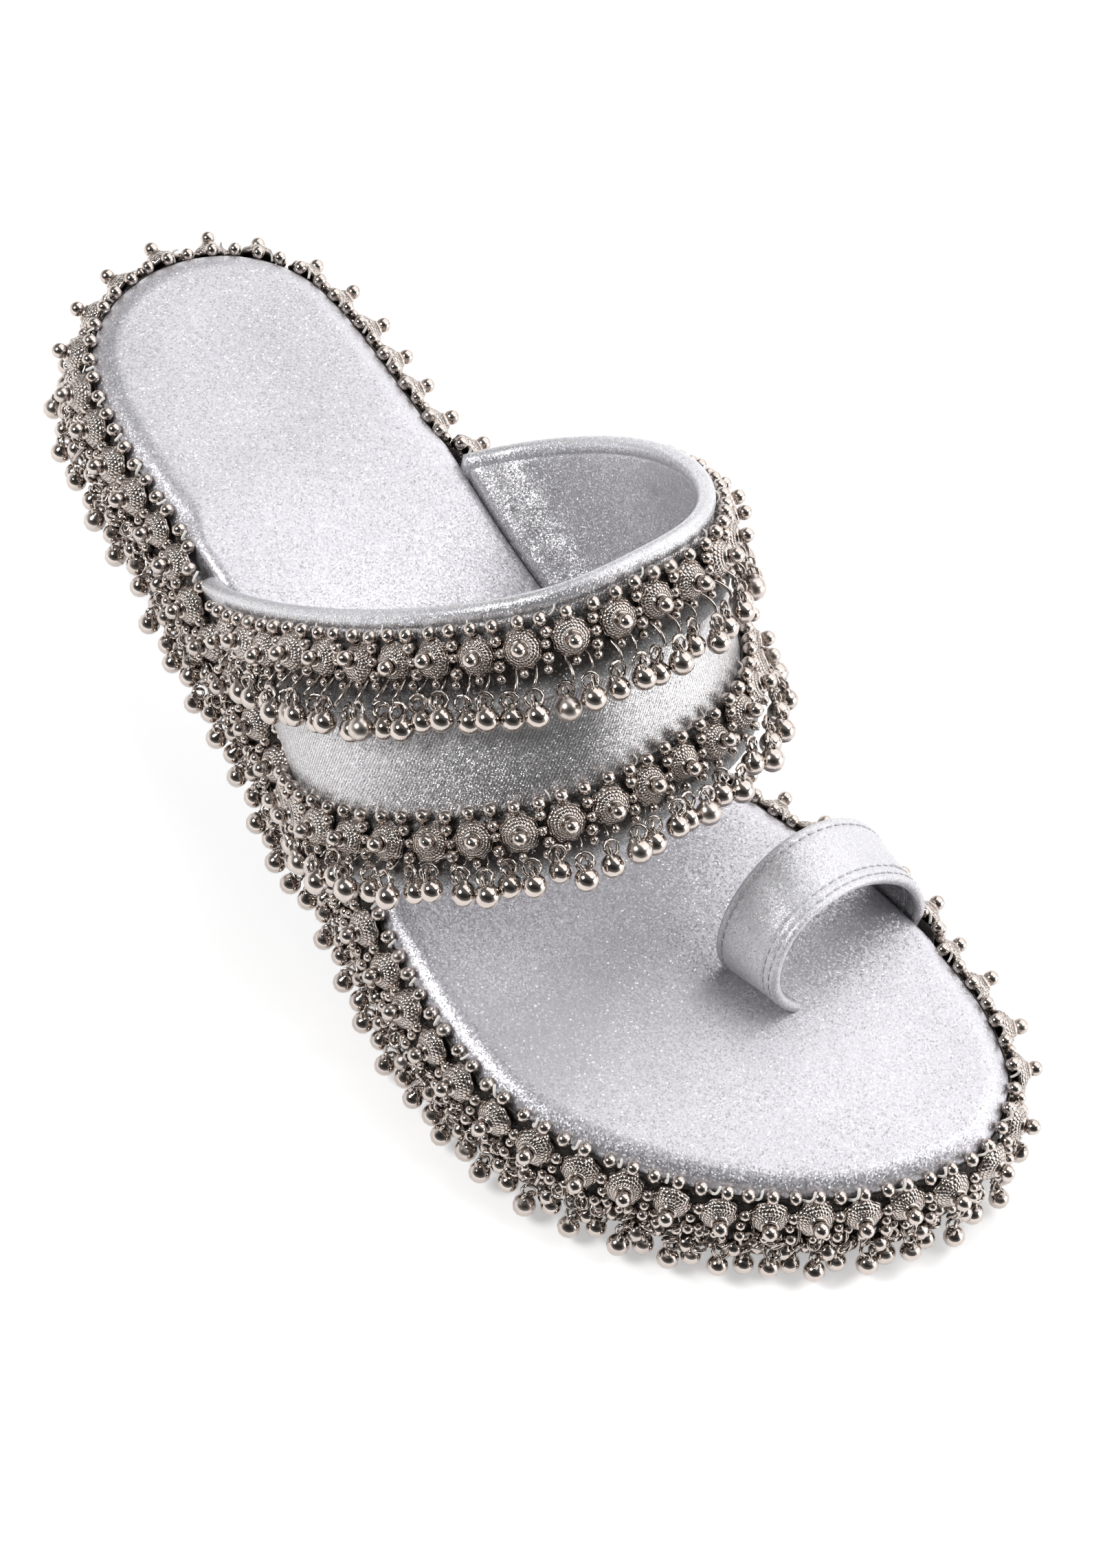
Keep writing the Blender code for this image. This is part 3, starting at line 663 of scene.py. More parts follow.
bandArch = RuledArch(bandEdge(strapBand["rear"], strapBand["hem"], strapBand["rearSpare"]),
                     bandEdge(strapBand["fore"], strapBand["thick"], strapBand["foreSpare"]),
                     standOff(strapBand["thick"], strapBand["foreSpare"]))
loopArch = RuledArch(loopEdge(toeLoop["rear"]), loopEdge(toeLoop["fore"]))


def archWall(name, arch, section, steps, thick, ends, finishes, finishRow, snug):
    # section rows: share of the ruling, millimetres on from there, offset from the middle surface
    # ends: depth of the tuck and thickness it is skived to, lateral then medial
    u = np.linspace(0.0, 1.0, steps + 1)
    tailShares = np.linspace(0.0, 1.0, archShape["tailSteps"] + 1)[1:]
    rows, cloth = [], []
    for share, extra, off in section:
        ruling = arch.frame(u, np.full_like(u, share))[4]
        p, _, out, _, _ = arch.frame(u, share + extra / ruling)
        shift = off
        if off < 0.0:   # the lining leans in against the footbed near both feet
            arc = runLength(p)
            for lean, far in zip(snug, (arc, arc[-1] - arc)):
                shift = shift - lean * (1.0 - ease(far / archShape["snugRun"]))[:, None]
        q = p + out * shift
        tails = []
        for k, (depth, skive) in zip((0, -1), ends):
            thin = max(0.0, off + 0.5 * thick - skive) if off > 0.0 else 0.0
            tails.append([q[k] - np.array([0.0, 0.0, d * depth]) - out[k] * thin for d in tailShares])
        rows.append(np.vstack([tails[0][::-1], q, tails[1]]))
        arc = runLength(rows[-1])
        cloth.append(np.column_stack([arc, np.full(len(arc), share * ruling.mean() + extra)]) * clothUnit)
    count, cols = len(section), steps + 1 + 2 * len(tailShares)
    faces = gridFaces(count, cols, False, True)
    which = [finishRow(r) for r in range(count) for _ in range(cols - 1)]
    for c in (0, cols - 1):
        faces.append([r * cols + c for r in range(count)])
        which.append(0)
    return meshFromMm(name, np.vstack(rows), faces, finishes, which, np.vstack(cloth))


def rolledRim(radius, degrees):
    turns = [math.radians(a) for a in degrees]
    return [(0.0, radius * (1.0 - math.cos(a)), radius * math.sin(a)) for a in turns]


def bandSection():
    half, hem, reach = 0.5 * strapBand["thick"], 0.5 * strapBand["hem"], strapBand["reach"]
    outer = rolledRim(hem, (0, 25, 50, 72, 90))
    # the sewn step of the hem, the flat of the band and its rounded front edge
    outer += [(0.0, 2.5, hem - 0.05), (0.0, 3.1, hem - 0.22), (0.0, 3.5, half + 0.02),
              (0.0, 3.75, half - 0.14), (0.0, 4.0, half - 0.02), (0.0, 4.6, half)]
    outer += [(w, 0.0, half) for w in np.linspace(0.16, 1.12, 22)]
    outer += [(reach, -1.0, half - 0.02), (reach, -0.45, half - 0.22), (reach, -0.1, half - 0.6),
              (reach, 0.0, 0.0)]
    inner = [(share, extra, -off) for share, extra, off in reversed(outer[1:-1])]
    return outer + inner, len(outer), len(inner)


def loopSection():
    half, wide, deep = 0.5 * toeLoop["thick"], toeLoop["seamHalf"], toeLoop["seamDeep"]

    def groove(share, at):
        return [(share, at - wide, half), (share, at, half - deep), (share, at + wide, half)]

    outer = [(0.0, 0.6 * e, o) for _, e, o in rolledRim(half, (0, 30, 60, 90))]
    outer += groove(0.0, toeLoop["rearSeam"])
    outer += [(w, 0.0, half) for w in np.linspace(0.2, 0.74, 10)]
    for seam in reversed(toeLoop["frontSeams"]):
        outer += groove(1.0, -seam)
    outer += [(1.0, -0.5, half - 0.03), (1.0, -0.1, half - 0.3), (1.0, 0.0, 0.0)]
    inner = [(s, e, -o) for s, e, o in reversed(outer[1:-1])]
    return outer + inner, len(outer), len(inner)


def liningFrom(outer, inner, hem):
    # finish of each strip: 0 outside, 1 lining, 2 the rolled hem on both faces
    def finishRow(r):
        if r < hem or r >= outer + inner - hem:
            return 2
        return int(outer + 2 <= r)
    return finishRow


section, outer, inner = bandSection()
band = archWall("strapBand", bandArch, section, strapBand["steps"], strapBand["thick"],
                [(strapBand["tuck"], strapBand["skive"])] * 2,
                [silver["strapSilver"], silver["liningSilver"], silver["hemSilver"]],
                liningFrom(outer, inner, strapBand["hemStrips"]), strapBand["snug"])
section, outer, inner = loopSection()
loop = archWall("toeLoop", loopArch, section, toeLoop["steps"], toeLoop["thick"],
                [(toeLoop["slit"], toeLoop["thick"]), (toeLoop["tuck"], toeLoop["skive"])],
                [silver["loopSilver"], silver["liningSilver"], silver["loopSilver"]],
                liningFrom(outer, inner, toeLoop["edgeStrips"]), (0.0, 0.0))
print("strap and toe loop ready")


# Small trim parts, seen from outside: z out, x along the trim, y up

def shapeObject(name, verts, faces, patina, grain=None):
    # patina: how dark, grain: how granulated, seat: the place on the small part itself in millimetres
    mesh = bpy.data.meshes.new(name)
    mesh.from_pydata((np.asarray(verts) * mm).tolist(), [], faces)
    mesh.polygons.foreach_set("use_smooth", np.ones(len(mesh.polygons), bool))
    for label, values in (("patina", patina), ("grain", grain or [0.0] * len(verts))):
        layer = mesh.attributes.new(label, "FLOAT", "POINT")
        layer.data.foreach_set("value", np.asarray(values, float))
    layer = mesh.attributes.new("seat", "FLOAT_VECTOR", "POINT")
    layer.data.foreach_set("vector", np.asarray(verts, float).ravel())
    faceOutwards(mesh)
    return finishObject(name, mesh)


def latheShape(name, profile, sides, lobes=0, lobe=0.0):
    # profile rows: radius, height, patina, grain; lobes scallop the outer rows
    verts, patina, grain = [], [], []
    widest = max(row[0] for row in profile)
    for r, h, dark, rough in profile:
        for k in range(sides):
            a = 2.0 * math.pi * k / sides
            reach = r + lobe * (r / widest) ** 4 * math.cos(lobes * a)
            verts.append((reach * math.cos(a), reach * math.sin(a), h))
            patina.append(dark)
            grain.append(rough)
    faces = gridFaces(len(profile), sides, True)
    low, high, top = len(verts), len(verts) + 1, (len(profile) - 1) * sides
    verts += [(0.0, 0.0, profile[0][1]), (0.0, 0.0, profile[-1][1] + 0.25 * profile[-1][0])]
    patina += [1.0, profile[-1][2]]
    grain += [0.0, 0.0]
    for k in range(sides):
        faces += [(low, (k + 1) % sides, k), (high, top + k, top + (k + 1) % sides)]
    return shapeObject(name, verts, faces, patina, grain)


def ballRows(radius, rings, base=0.0):
    return [(radius * math.cos(a), base + radius * math.sin(a), 0.0, 0.0)
            for a in np.linspace(-0.92, 0.92, rings) * 0.5 * math.pi]


def tubeShape(name, path, radius, sides, patina, closed=False):
    path = np.asarray(path, float)
    count = len(path)
    verts = []
    for i in range(count):
        a = path[(i - 1) % count] if closed or i else path[i]
        b = path[(i + 1) % count] if closed or i < count - 1 else path[i]
        run = (b - a) / np.linalg.norm(b - a)
        side = np.cross(run, (0.31, 0.95, 0.05))
        side /= np.linalg.norm(side)
        other = np.cross(run, side)
        for k in range(sides):
            w = 2.0 * math.pi * k / sides
            verts.append(tuple(path[i] + radius * (math.cos(w) * side + math.sin(w) * other)))
    faces = gridFaces(count, sides, True, closed)
    if not closed:
        faces += [tuple(range(sides)), tuple(range((count - 1) * sides, count * sides))]
    return shapeObject(name, verts, faces, [patina] * len(verts))


floretPart = {"rim": 3.7, "boss": 1.48, "bossHigh": 4.1, "bossRows": 8, "sides": 36, "lobes": 9, "lobe": 0.24}
beadPart = {"rows": 6, "sides": 9}
bellPart = {"radius": 2.2, "rows": 8, "sides": 12}
ringPart = {"radius": 1.6, "wire": 0.43, "steps": 11, "sides": 5}
wirePart = {"length": 5.6, "wire": 0.45, "bow": 0.6, "lift": 0.4, "hook": 1.7}
stitchPart = {"length": 3.6, "thick": 0.28, "high": 1.0, "wave": 0.25}
seamPart = {"length": 1.6, "thick": 0.15, "high": 0.16, "tilt": 0.05, "spread": 0.08, "seed": 5}


def floretShape():
    # granulated dome, polished collar with a groove inside it and the boss on top
    r = floretPart["rim"]
    rows = [(r - 0.5, -0.35, 1.0, 0.0), (r - 0.04, -0.1, 0.5, 0.2), (r + 0.04, 0.3, 0.1, 0.7)]
    rows += [(r - inward, height, 0.0, 1.0) for inward, height in
             ((0.12, 0.75), (0.42, 1.25), (0.84, 1.72), (1.3, 2.12), (1.78, 2.42))]
    rows += [(r - inward, height, dark, 0.0) for inward, height, dark in
             ((1.95, 2.45, 0.7), (2.0, 2.7, 0.0), (2.1, 2.95, 0.0), (2.36, 3.0, 0.0), (2.5, 2.75, 0.8),
              (2.8, 2.75, 1.0))]
    rows += ballRows(floretPart["boss"], floretPart["bossRows"], floretPart["bossHigh"])[1:]
    return latheShape("floretShape", rows, floretPart["sides"], floretPart["lobes"], floretPart["lobe"])


def bellShape():
    r = bellPart["radius"]
    neck = [(0.34 * r, 0.94 * r, 0.5, 0.0), (0.28 * r, 1.15 * r, 0.1, 0.0)]
    return latheShape("bellShape", ballRows(r, bellPart["rows"])[:-1] + neck, bellPart["sides"])


def wireShape(name, rise):
    # hook that leaves the tape under the floret and carries a bell ring off the surface
    t = np.linspace(0.0, 1.0, 8)
    out = wirePart["lift"] + rise * np.sin(wirePart["hook"] * t)
    path = np.column_stack([wirePart["bow"] * np.sin(math.pi * t), -wirePart["length"] * t, out])
    return tubeShape(name, path, wirePart["wire"], 6, 0.1)


def stitchShape():
    t = np.linspace(0.0, 1.0, 9)
    out = stitchPart["high"] * np.sin(math.pi * t)
    path = np.column_stack([stitchPart["wave"] * np.sin(4.0 * t), stitchPart["length"] * (0.5 - t), out])
    return tubeShape("stitchShape", path, stitchPart["thick"], 6, 0.0)


def seamShape():
    t = np.linspace(0.0, 1.0, 6)
    path = np.column_stack([seamPart["length"] * (t - 0.5), 0.0 * t, seamPart["high"] * np.sin(math.pi * t)])
    return tubeShape("seamShape", path, seamPart["thick"], 5, 0.0)


def ringShape():
    a = np.linspace(0.0, 2.0 * math.pi, ringPart["steps"] + 1)[:-1]
    path = np.column_stack([ringPart["radius"] * np.cos(a), ringPart["radius"] * np.sin(a), 0.0 * a])
    return tubeShape("ringShape", path, ringPart["wire"], ringPart["sides"], 0.08, True)


def buildScatterTree():
    # sets one small shape on every site, turned to the site's own out and along directions
    tree = bpy.data.node_groups.new("setOnSites", "GeometryNodeTree")
    face = tree.interface
    face.new_socket(name="Sites", in_out="INPUT", socket_type="NodeSocketGeometry")
    keys = {}
    for label, kind in (("Shape", "Object"), ("Finish", "Material"), ("Tilt", "Float"),
                        ("Size Spread", "Float"), ("Seed", "Int")):
        keys[label] = face.new_socket(name=label, in_out="INPUT", socket_type="NodeSocket" + kind).identifier
    face.new_socket(name="Geometry", in_out="OUTPUT", socket_type="NodeSocketGeometry")
    gin, gout = tree.nodes.new("NodeGroupInput"), tree.nodes.new("NodeGroupOutput")

    def siteValue(label, kind):
        node = makeNode(tree, "GeometryNodeInputNamedAttribute", {"Name": label}, data_type=kind)
        return node.outputs["Attribute"]

    def randomValue(kind, low, high):
        node = makeNode(tree, "FunctionNodeRandomValue", {}, data_type=kind)
        sockets = {s.name: s for s in node.inputs if s.enabled}
        for label, value in (("Min", low), ("Max", high)):
            if hasattr(value, "links"):
                tree.links.new(value, sockets[label])
            else:
                sockets[label].default_value = value
        tree.links.new(gin.outputs["Seed"], sockets["Seed"])
        return [s for s in node.outputs if s.enabled][0]

    facing = {0: siteValue("siteOut", "FLOAT_VECTOR"), 1: siteValue("siteAlong", "FLOAT_VECTOR")}
    axes = makeNode(tree, "FunctionNodeAxesToRotation", facing, primary_axis="Z", secondary_axis="X")
    limits = [vectorNode(tree, "SCALE", (k, k, 1.6 * k), scale=gin.outputs["Tilt"]) for k in (-1.0, 1.0)]
    turn = makeNode(tree, "FunctionNodeEulerToRotation", {0: randomValue("FLOAT_VECTOR", *limits)})
    turns = {0: axes.outputs[0], 1: turn.outputs[0]}
    spin = makeNode(tree, "FunctionNodeRotateRotation", turns, rotation_space="LOCAL")
    spread = gin.outputs["Size Spread"]
    grow = randomValue("FLOAT", mathNode(tree, "SUBTRACT", 1.0, spread), mathNode(tree, "ADD", 1.0, spread))
    size = mathNode(tree, "MULTIPLY", grow, siteValue("siteSize", "FLOAT"))
    info = makeNode(tree, "GeometryNodeObjectInfo", {"Object": gin.outputs["Shape"]})
    place = makeNode(tree, "GeometryNodeInstanceOnPoints", {
        "Points": gin.outputs["Sites"], "Instance": info.outputs["Geometry"], "Rotation": spin.outputs[0],
        "Scale": size})
    # each copy tarnishes by its own amount
    named = {"Geometry": place.outputs["Instances"], "Name": "tarnish"}
    mark = makeNode(tree, "GeometryNodeStoreNamedAttribute", named, domain="INSTANCE", data_type="FLOAT")
    value = [s for s in mark.inputs if s.name == "Value" and s.enabled][0]
    tree.links.new(randomValue("FLOAT", 0.0, 1.0), value)
    real = makeNode(tree, "GeometryNodeRealizeInstances", {"Geometry": mark.outputs["Geometry"]})
    paint = makeNode(tree, "GeometryNodeSetMaterial",
                     {"Geometry": real.outputs["Geometry"], "Material": gin.outputs["Finish"]})
    tree.links.new(paint.outputs["Geometry"], gout.inputs["Geometry"])
    return tree, keys


scatterTree, scatterKeys = buildScatterTree()


def setOnSites(name, shape, sites, finish, tilt, spread, seed):
    # sites: rows of position, along, out and size
    mesh = bpy.data.meshes.new(name + "Sites")
    points = (np.array([s[0] for s in sites]) + centreShift) * mm
    mesh.from_pydata(points.tolist(), [], [])
    for label, column in (("siteAlong", 1), ("siteOut", 2)):
        layer = mesh.attributes.new(label, "FLOAT_VECTOR", "POINT")
        layer.data.foreach_set("vector", np.array([s[column] for s in sites], float).ravel())
    layer = mesh.attributes.new("siteSize", "FLOAT", "POINT")
    layer.data.foreach_set("value", np.array([s[3] for s in sites], float))
    host = finishObject(name + "Host", mesh)
    mod = host.modifiers.new("setOnSites", "NODES")
    mod.node_group = scatterTree
    values = {"Shape": shape, "Finish": finish, "Tilt": tilt, "Size Spread": spread, "Seed": seed}
    for label, value in values.items():
        mod[scatterKeys[label]] = value
    host.update_tag()
    graph = bpy.context.evaluated_depsgraph_get()
    result = bpy.data.meshes.new_from_object(host.evaluated_get(graph), depsgraph=graph)
    result.name = name
    for label in ("siteAlong", "siteOut", "siteSize"):
        if label in result.attributes:
            result.attributes.remove(result.attributes[label])
    host.modifiers.remove(mod)
    bpy.data.objects.remove(host, do_unlink=True)
    return finishObject(name, result)


# Where a trim runs: a place is an arc position, a drop below the bead row and a distance off the carrier

trimSizes = {
    "solePitch": 9.0, "strapPitch": 8.3, "strapClear": 5.0, "rearShare": 0.215, "frontShare": 1.0,
    "topDrop": 3.4, "floretDrop": 4.6, "tuckStep": 3.0, "hangSlide": 2.5, "hangRun": 13.5, "strapLift": 0.25,
    "topBead": 1.5, "midBeads": [(2.2, 1.25), (4.7, 1.1), (7.2, 1.3), (9.2, 1.0)],   # drop, radius
    "nextOut": 0.1, "midOut": 1.8, "threadShare": 0.26, "threadUp": 0.4, "threadOut": 0.1,
}
strapHang = {   # what both strap trims have in common
    "wallLie": 0.55, "topShift": -0.3, "topOut": 1.7, "floretDrop": 4.6, "nod": 0.06, "lift": 1.2,
    "floret": 1.07, "bell": 1.1, "ringNod": 0.1, "ringIn": 0.4, "beadSplay": 0.12, "midRows": 4, "crowd": 0,
    "tapeFlare": 0.0, "tapeTop": 0.5, "threadEvery": 2, "threadSize": 0.7,
}
trimHang = {   # how the sewn and hanging parts of each trim stand
    "soleTrim": {
        "wallLie": 0.0, "topShift": -1.9, "topOut": 0.3, "floretDrop": 2.9, "nod": 0.24, "lift": 1.9,
        "floret": 1.12, "bell": 1.04, "ringNod": 0.5, "ringIn": 1.6, "beadSplay": 0.38, "midRows": 3,
        "crowd": 3, "tapeFlare": 1.8, "tapeTop": 0.0, "threadEvery": 1, "threadSize": 1.0,
        "bellDrop": 17.2, "bellOff": 6.1, "tapeLow": 17.0, "seed": 11},
    "rearTrim": {**strapHang, "bellDrop": 16.4, "bellOff": 5.8, "tapeLow": 15.0, "seed": 23},
    "frontTrim": {**strapHang, "bellDrop": 13.9, "bellOff": 6.6, "tapeLow": 14.0, "seed": 37},
}
hangPart = {   # the parts under one floret
    "sides": (-0.25, 0.25), "startShare": 0.9, "sideOff": 3.4, "neck": 4.6, "wireDrop": 7.6, "wireOut": 1.0,
    "wireShort": 1.4, "uprightFrom": 0.1, "uprightRun": 0.9,
    "lowBead": (4.4, 1.7, 8.0, 0.95),   # drop, distance off, more of it with the splay, radius
    "rings": [   # height over the bell, share of ringIn, size, swing
        ("firstRing", 3.4, 1.0, 1.0, (-0.4, 0.4)), ("nextRing", 3.0, 0.4, 0.85, (0.7, 1.5))],
}
crowdPart = {   # more rings, beads and short bells under the florets of the sole
    "play": (-1.2, 1.2), "bellShare": 0.25, "bellShort": (2.6, 3.8), "bellIn": 2.4,
    "bellSize": 0.85, "beadDrop": (7.5, 12.5), "beadOut": (2.4, 4.0), "beadSize": (1.0, 1.35),
    "ringDrop": (9.0, 14.0), "ringOut": (3.0, 5.0), "ringSize": 0.9, "ringTurn": (0.0, 3.0),
    "ringSwing": (-1.1, 1.1), "ringNod": 0.5,
}
partPlay = {   # tilt in radians and spread of size of each kind of part
    "Florets": (0.13, 0.04), "Beads": (0.0, 0.05), "Bells": (0.22, 0.05), "Rings": (0.25, 0.06),
    "Wires": (0.10, 0.04), "Threads": (0.15, 0.1),
}
sewPlay = {   # how unevenly the hand sews, in millimetres and radians
    "floret": 0.15, "floretDrop": 0.2, "floretLift": (-0.2, 0.2), "floretNod": 0.08,
    "bead": 0.2, "beadDrop": 0.15, "nextBeadDrop": 0.2, "lowBead": 0.3, "midBead": 0.25, "midDrop": 0.15,
    "hook": 0.22, "hookDrop": 0.7, "firstRing": 0.15, "nextRing": 0.2, "bell": 0.12, "crowdBell": 0.3,
    "bellOff": (-0.3, 0.3), "thread": 0.3, "threadTurn": (0.2, 0.25),
}


def solePlace(s, drop, out):
    n = rimNormal(s)
    tuck = trimSizes["tuckStep"] * strapHere(s, strapSpans["trimRamp"])
    x, y = rimAt(s) + n * (soleShape["wallOut"] + soleShape["gap"] + tuck + out)
    p = np.array([x, y, rimHeight(rimAt(s)[1]) - trimSizes["topDrop"] - drop])
    return p, np.array([-n[1], n[0], 0.0]), np.array([n[0], n[1], 0.0])


def strapRun(share):
    # arc positions are shared out along the floret row and, further down, along the bell row's own length
    u = np.linspace(0.0, 1.0, 401)
    hang = trimSizes["hangRun"]
    ruling = bandArch.frame(u, np.full_like(u, share))[4]
    arc, bellArc = (runLength(bandArch.at(u, share + drop / ruling)) for drop in (0.0, hang))
    cells = int((arc[-1] - 2.0 * trimSizes["strapClear"]) / trimSizes["strapPitch"])
    begin = 0.5 * (arc[-1] - cells * trimSizes["strapPitch"])

    def place(s, drop, out):
        lower = (drop - trimSizes["floretDrop"]) / hang
        near = np.interp(begin + s, arc, u)
        far = np.interp((begin + s) / arc[-1] * bellArc[-1], bellArc, u)
        at = near + (far - near) * np.clip(lower, 0.0, 1.0)
        p, along, away, _, _ = bandArch.frame(at, share + lower * hang / np.interp(at, u, ruling))
        return p + away * (0.5 * strapBand["thick"] + trimSizes["strapLift"] + out), along, away
    return place, cells


def trimSites(place, cells, pitch, closed, hang):
    rng = np.random.default_rng(hang["seed"])
    sites = {label: [] for label in partPlay}

    def near(value, label):
        return value + rng.normal(0, sewPlay[label])

    def among(limits):
        return rng.uniform(*limits)

    def put(label, s, drop, out, size, turn=0.0, lean=0.0, nod=0.0):
        p, along, away = place(s, drop, out)
        down = np.cross(along, away)
        turned = along * math.cos(turn) + down * math.sin(turn)
        down = down * math.cos(turn) - along * math.sin(turn)
        away = away * math.cos(nod) - down * math.sin(nod)
        facing = away * math.cos(lean) + turned * math.sin(lean)
        turned = turned * math.cos(lean) - away * math.sin(lean)
        sites[label].append((p, turned, facing, size))

    def crowd(a, fall, off):
        part = crowdPart
        put("Bells", near(a + part["bellShare"] * pitch, "crowdBell"), fall - among(part["bellShort"]),
            off - part["bellIn"], part["bellSize"] * hang["bell"])
        for _ in range(hang["crowd"]):
            put("Beads", a + among(part["play"]), among(part["beadDrop"]), among(part["beadOut"]),
                among(part["beadSize"]))
            put("Rings", a + among(part["play"]), among(part["ringDrop"]), among(part["ringOut"]),
                part["ringSize"], among(part["ringTurn"]), among(part["ringSwing"]), part["ringNod"])

    def hangBell(s, side, slide):
        start = s + hangPart["startShare"] * side * pitch
        a = near(s + side * pitch + slide, "hook")
        fall = near(hang["bellDrop"], "hookDrop")
        # bells lie against an upright wall
        steep = 1.0 - ease((place(a, fall, 0.0)[2][2] + hangPart["uprightFrom"]) / hangPart["uprightRun"])
        off = hang["bellOff"] * (1.0 - hang["wallLie"] * steep) + hangPart["sideOff"] * side
        off += among(sewPlay["bellOff"])
        reach = fall - hangPart["neck"] - hangPart["wireDrop"]
        put("Wires", start, hangPart["wireDrop"], hangPart["wireOut"], reach / wirePart["length"],
            -math.atan2(a - start, reach))
        for label, over, share, size, swing in hangPart["rings"]:
            put("Rings", near(a, label), fall - over, off - share * hang["ringIn"], size, 0.0, among(swing),
                hang["ringNod"])
        if hang["crowd"]:
            crowd(a, fall, off)
        put("Bells", near(a, "bell"), fall, off, hang["bell"])

    drop, top, splay = hang["floretDrop"], trimSizes["topBead"], hang["beadSplay"]
    lowDrop, lowOut, lowSplay, lowSize = hangPart["lowBead"]
    for i in range(cells):
        s = (i + 0.5) * pitch
        put("Florets", near(s, "floret"), near(drop, "floretDrop"),
            hang["lift"] + among(sewPlay["floretLift"]), hang["floret"], nod=near(hang["nod"], "floretNod"))
        put("Beads", near(s, "bead"), near(hang["topShift"], "beadDrop"), hang["topOut"], top)
        put("Beads", near(s, "lowBead"), drop + lowDrop, lowOut + lowSplay * splay, lowSize)
        slide = -trimSizes["hangSlide"] * place(s, drop, 0.0)[1][2]   # bells hang towards the low end
        for side in hangPart["sides"]:
            hangBell(s, side, slide)
    for i in range(cells) if closed else range(1, cells):
        s = i * pitch
        put("Beads", near(s, "bead"), near(hang["topShift"], "nextBeadDrop"),
            hang["topOut"] + trimSizes["nextOut"], top)
        for low, radius in trimSizes["midBeads"][:hang["midRows"]]:
            put("Beads", near(s, "midBead"), near(low, "midDrop"), trimSizes["midOut"] + splay * low, radius)
        if i % hang["threadEvery"] == 0:
            put("Threads", near(s + trimSizes["threadShare"] * pitch, "thread"),
                hang["topShift"] - trimSizes["threadUp"], trimSizes["threadOut"], hang["threadSize"],
                rng.normal(*sewPlay["threadTurn"]))
    return sites


tapeColumns = 4   # columns of the tape a floret


def trimTapeAndShade(name, place, cells, pitch, closed, hang):
    # grey tape that the florets are sewn to, its dark colour partly painted shade under the trim; on the sole
    # its lower half swings out behind the bells as a dark sheet of painted shade
    top, low, flare = hang["tapeTop"], hang["tapeLow"], hang["tapeFlare"]
    steps = cells * tapeColumns
    ends = steps if closed else steps + 1
    waist = 6.0
    half = 0.5 * (low + waist)
    edge = [(top + 0.1, -0.2), (top, 0.0), (top + 0.3, 0.3), (3.5, 0.7), (waist, 0.9),
            (half, 0.9 + 0.4 * flare), (low - 0.3, 0.8 + flare), (low, 0.5 + flare),
            (low - 0.1, 0.1 + flare), (half, 0.3 * flare), (waist, -0.2)]
    verts = [place(i * pitch / tapeColumns, drop, out)[0] for i in range(ends) for drop, out in edge]
    faces = gridFaces(ends, len(edge), True, closed)
    if not closed:
        faces += [tuple(range(len(edge))), tuple(range(len(verts) - len(edge), len(verts)))]
    cloth = [(i * pitch / tapeColumns * clothUnit, drop / low) for i in range(ends) for drop, _ in edge]
    return meshFromMm(name, verts, faces, [silver["soleTapeAndShade" if closed else "strapTapeAndShade"]], None, cloth)


smallShapes = {
    "Florets": floretShape(), "Bells": bellShape(), "Rings": ringShape(),
    "Beads": latheShape("beadShape", ballRows(1.0, beadPart["rows"]), beadPart["sides"]),
    "Threads": stitchShape(), "Seams": seamShape(),
}


def bellTrim(name, node, run, cells, pitch, closed):
    hang = trimHang[name]
    sites = trimSites(run, cells, pitch, closed, hang)
    sites["Bells"] = [(p, along, np.cross(away, along), size) for p, along, away, size in sites["Bells"]]
    wire = wireShape(name + "Wire", hang["bellOff"] - hang["ringIn"] - hangPart["wireShort"])
    shapes = {**smallShapes, "Wires": wire}
    pieces = [trimTapeAndShade(name + "Tape", run, cells, pitch, closed, hang)]
    for k, (label, play) in enumerate(partPlay.items()):
        finish = thread if label == "Threads" else nickel
        pieces.append(setOnSites(name + label, shapes[label], sites[label], finish, *play, hang["seed"] + k))
    bpy.data.objects.remove(wire, do_unlink=True)
    for piece in pieces:
        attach(piece, "root")
    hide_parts(node)
    print(name, cells, "cells,", sum(len(p.data.polygons) for p in pieces), "faces")


soleCells = int(round(rimLength / trimSizes["solePitch"]))
rearRun, rearCells = strapRun(trimSizes["rearShare"])
frontRun, frontCells = strapRun(trimSizes["frontShare"])
bellTrim("soleTrim", "sole_trim", solePlace, soleCells, rimLength / soleCells, True)
bellTrim("rearTrim", "rear_strap_trim", rearRun, rearCells, trimSizes["strapPitch"], False)
bellTrim("frontTrim", "front_strap_trim", frontRun, frontCells, trimSizes["strapPitch"], False)


# Seams sewn along the toe loop

def seamSites(share, extra):
    u = np.linspace(*toeLoop["stitchEnds"], 600)
    ruling = loopArch.frame(u, np.full_like(u, share))[4]
    p, along, out, _, _ = loopArch.frame(u, share + extra / ruling)
    arc = runLength(p)
    spots = np.searchsorted(arc, np.arange(1.0, arc[-1] - 1.0, toeLoop["stitch"]))
    lift = 0.5 * toeLoop["thick"] - toeLoop["stitchSink"]
    return [(p[k] + out[k] * lift, along[k], out[k], 1.0) for k in spots]


seamRows = seamSites(0.0, toeLoop["rearSeam"])
for seam in toeLoop["frontSeams"]:
    seamRows += seamSites(1.0, -seam)
seams = setOnSites("toeLoopSeams", smallShapes["Seams"], seamRows, seamThread,
                   seamPart["tilt"], seamPart["spread"], seamPart["seed"])

for shape in smallShapes.values():
    bpy.data.objects.remove(shape, do_unlink=True)

for piece, node, slotName in (
        (footbed, "footbed", "footbed"), (wedge, "wedge", "wedge"), (outsole, "outsole", "outsole"),
        (band, "strap_band", "strap"), (loop, "toe_loop", "toe_loop")):
    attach(piece, "root")
    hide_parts(node)
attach(seams, "root")
print("all pieces ride on the shoe")


# Studio: floor, lights and camera

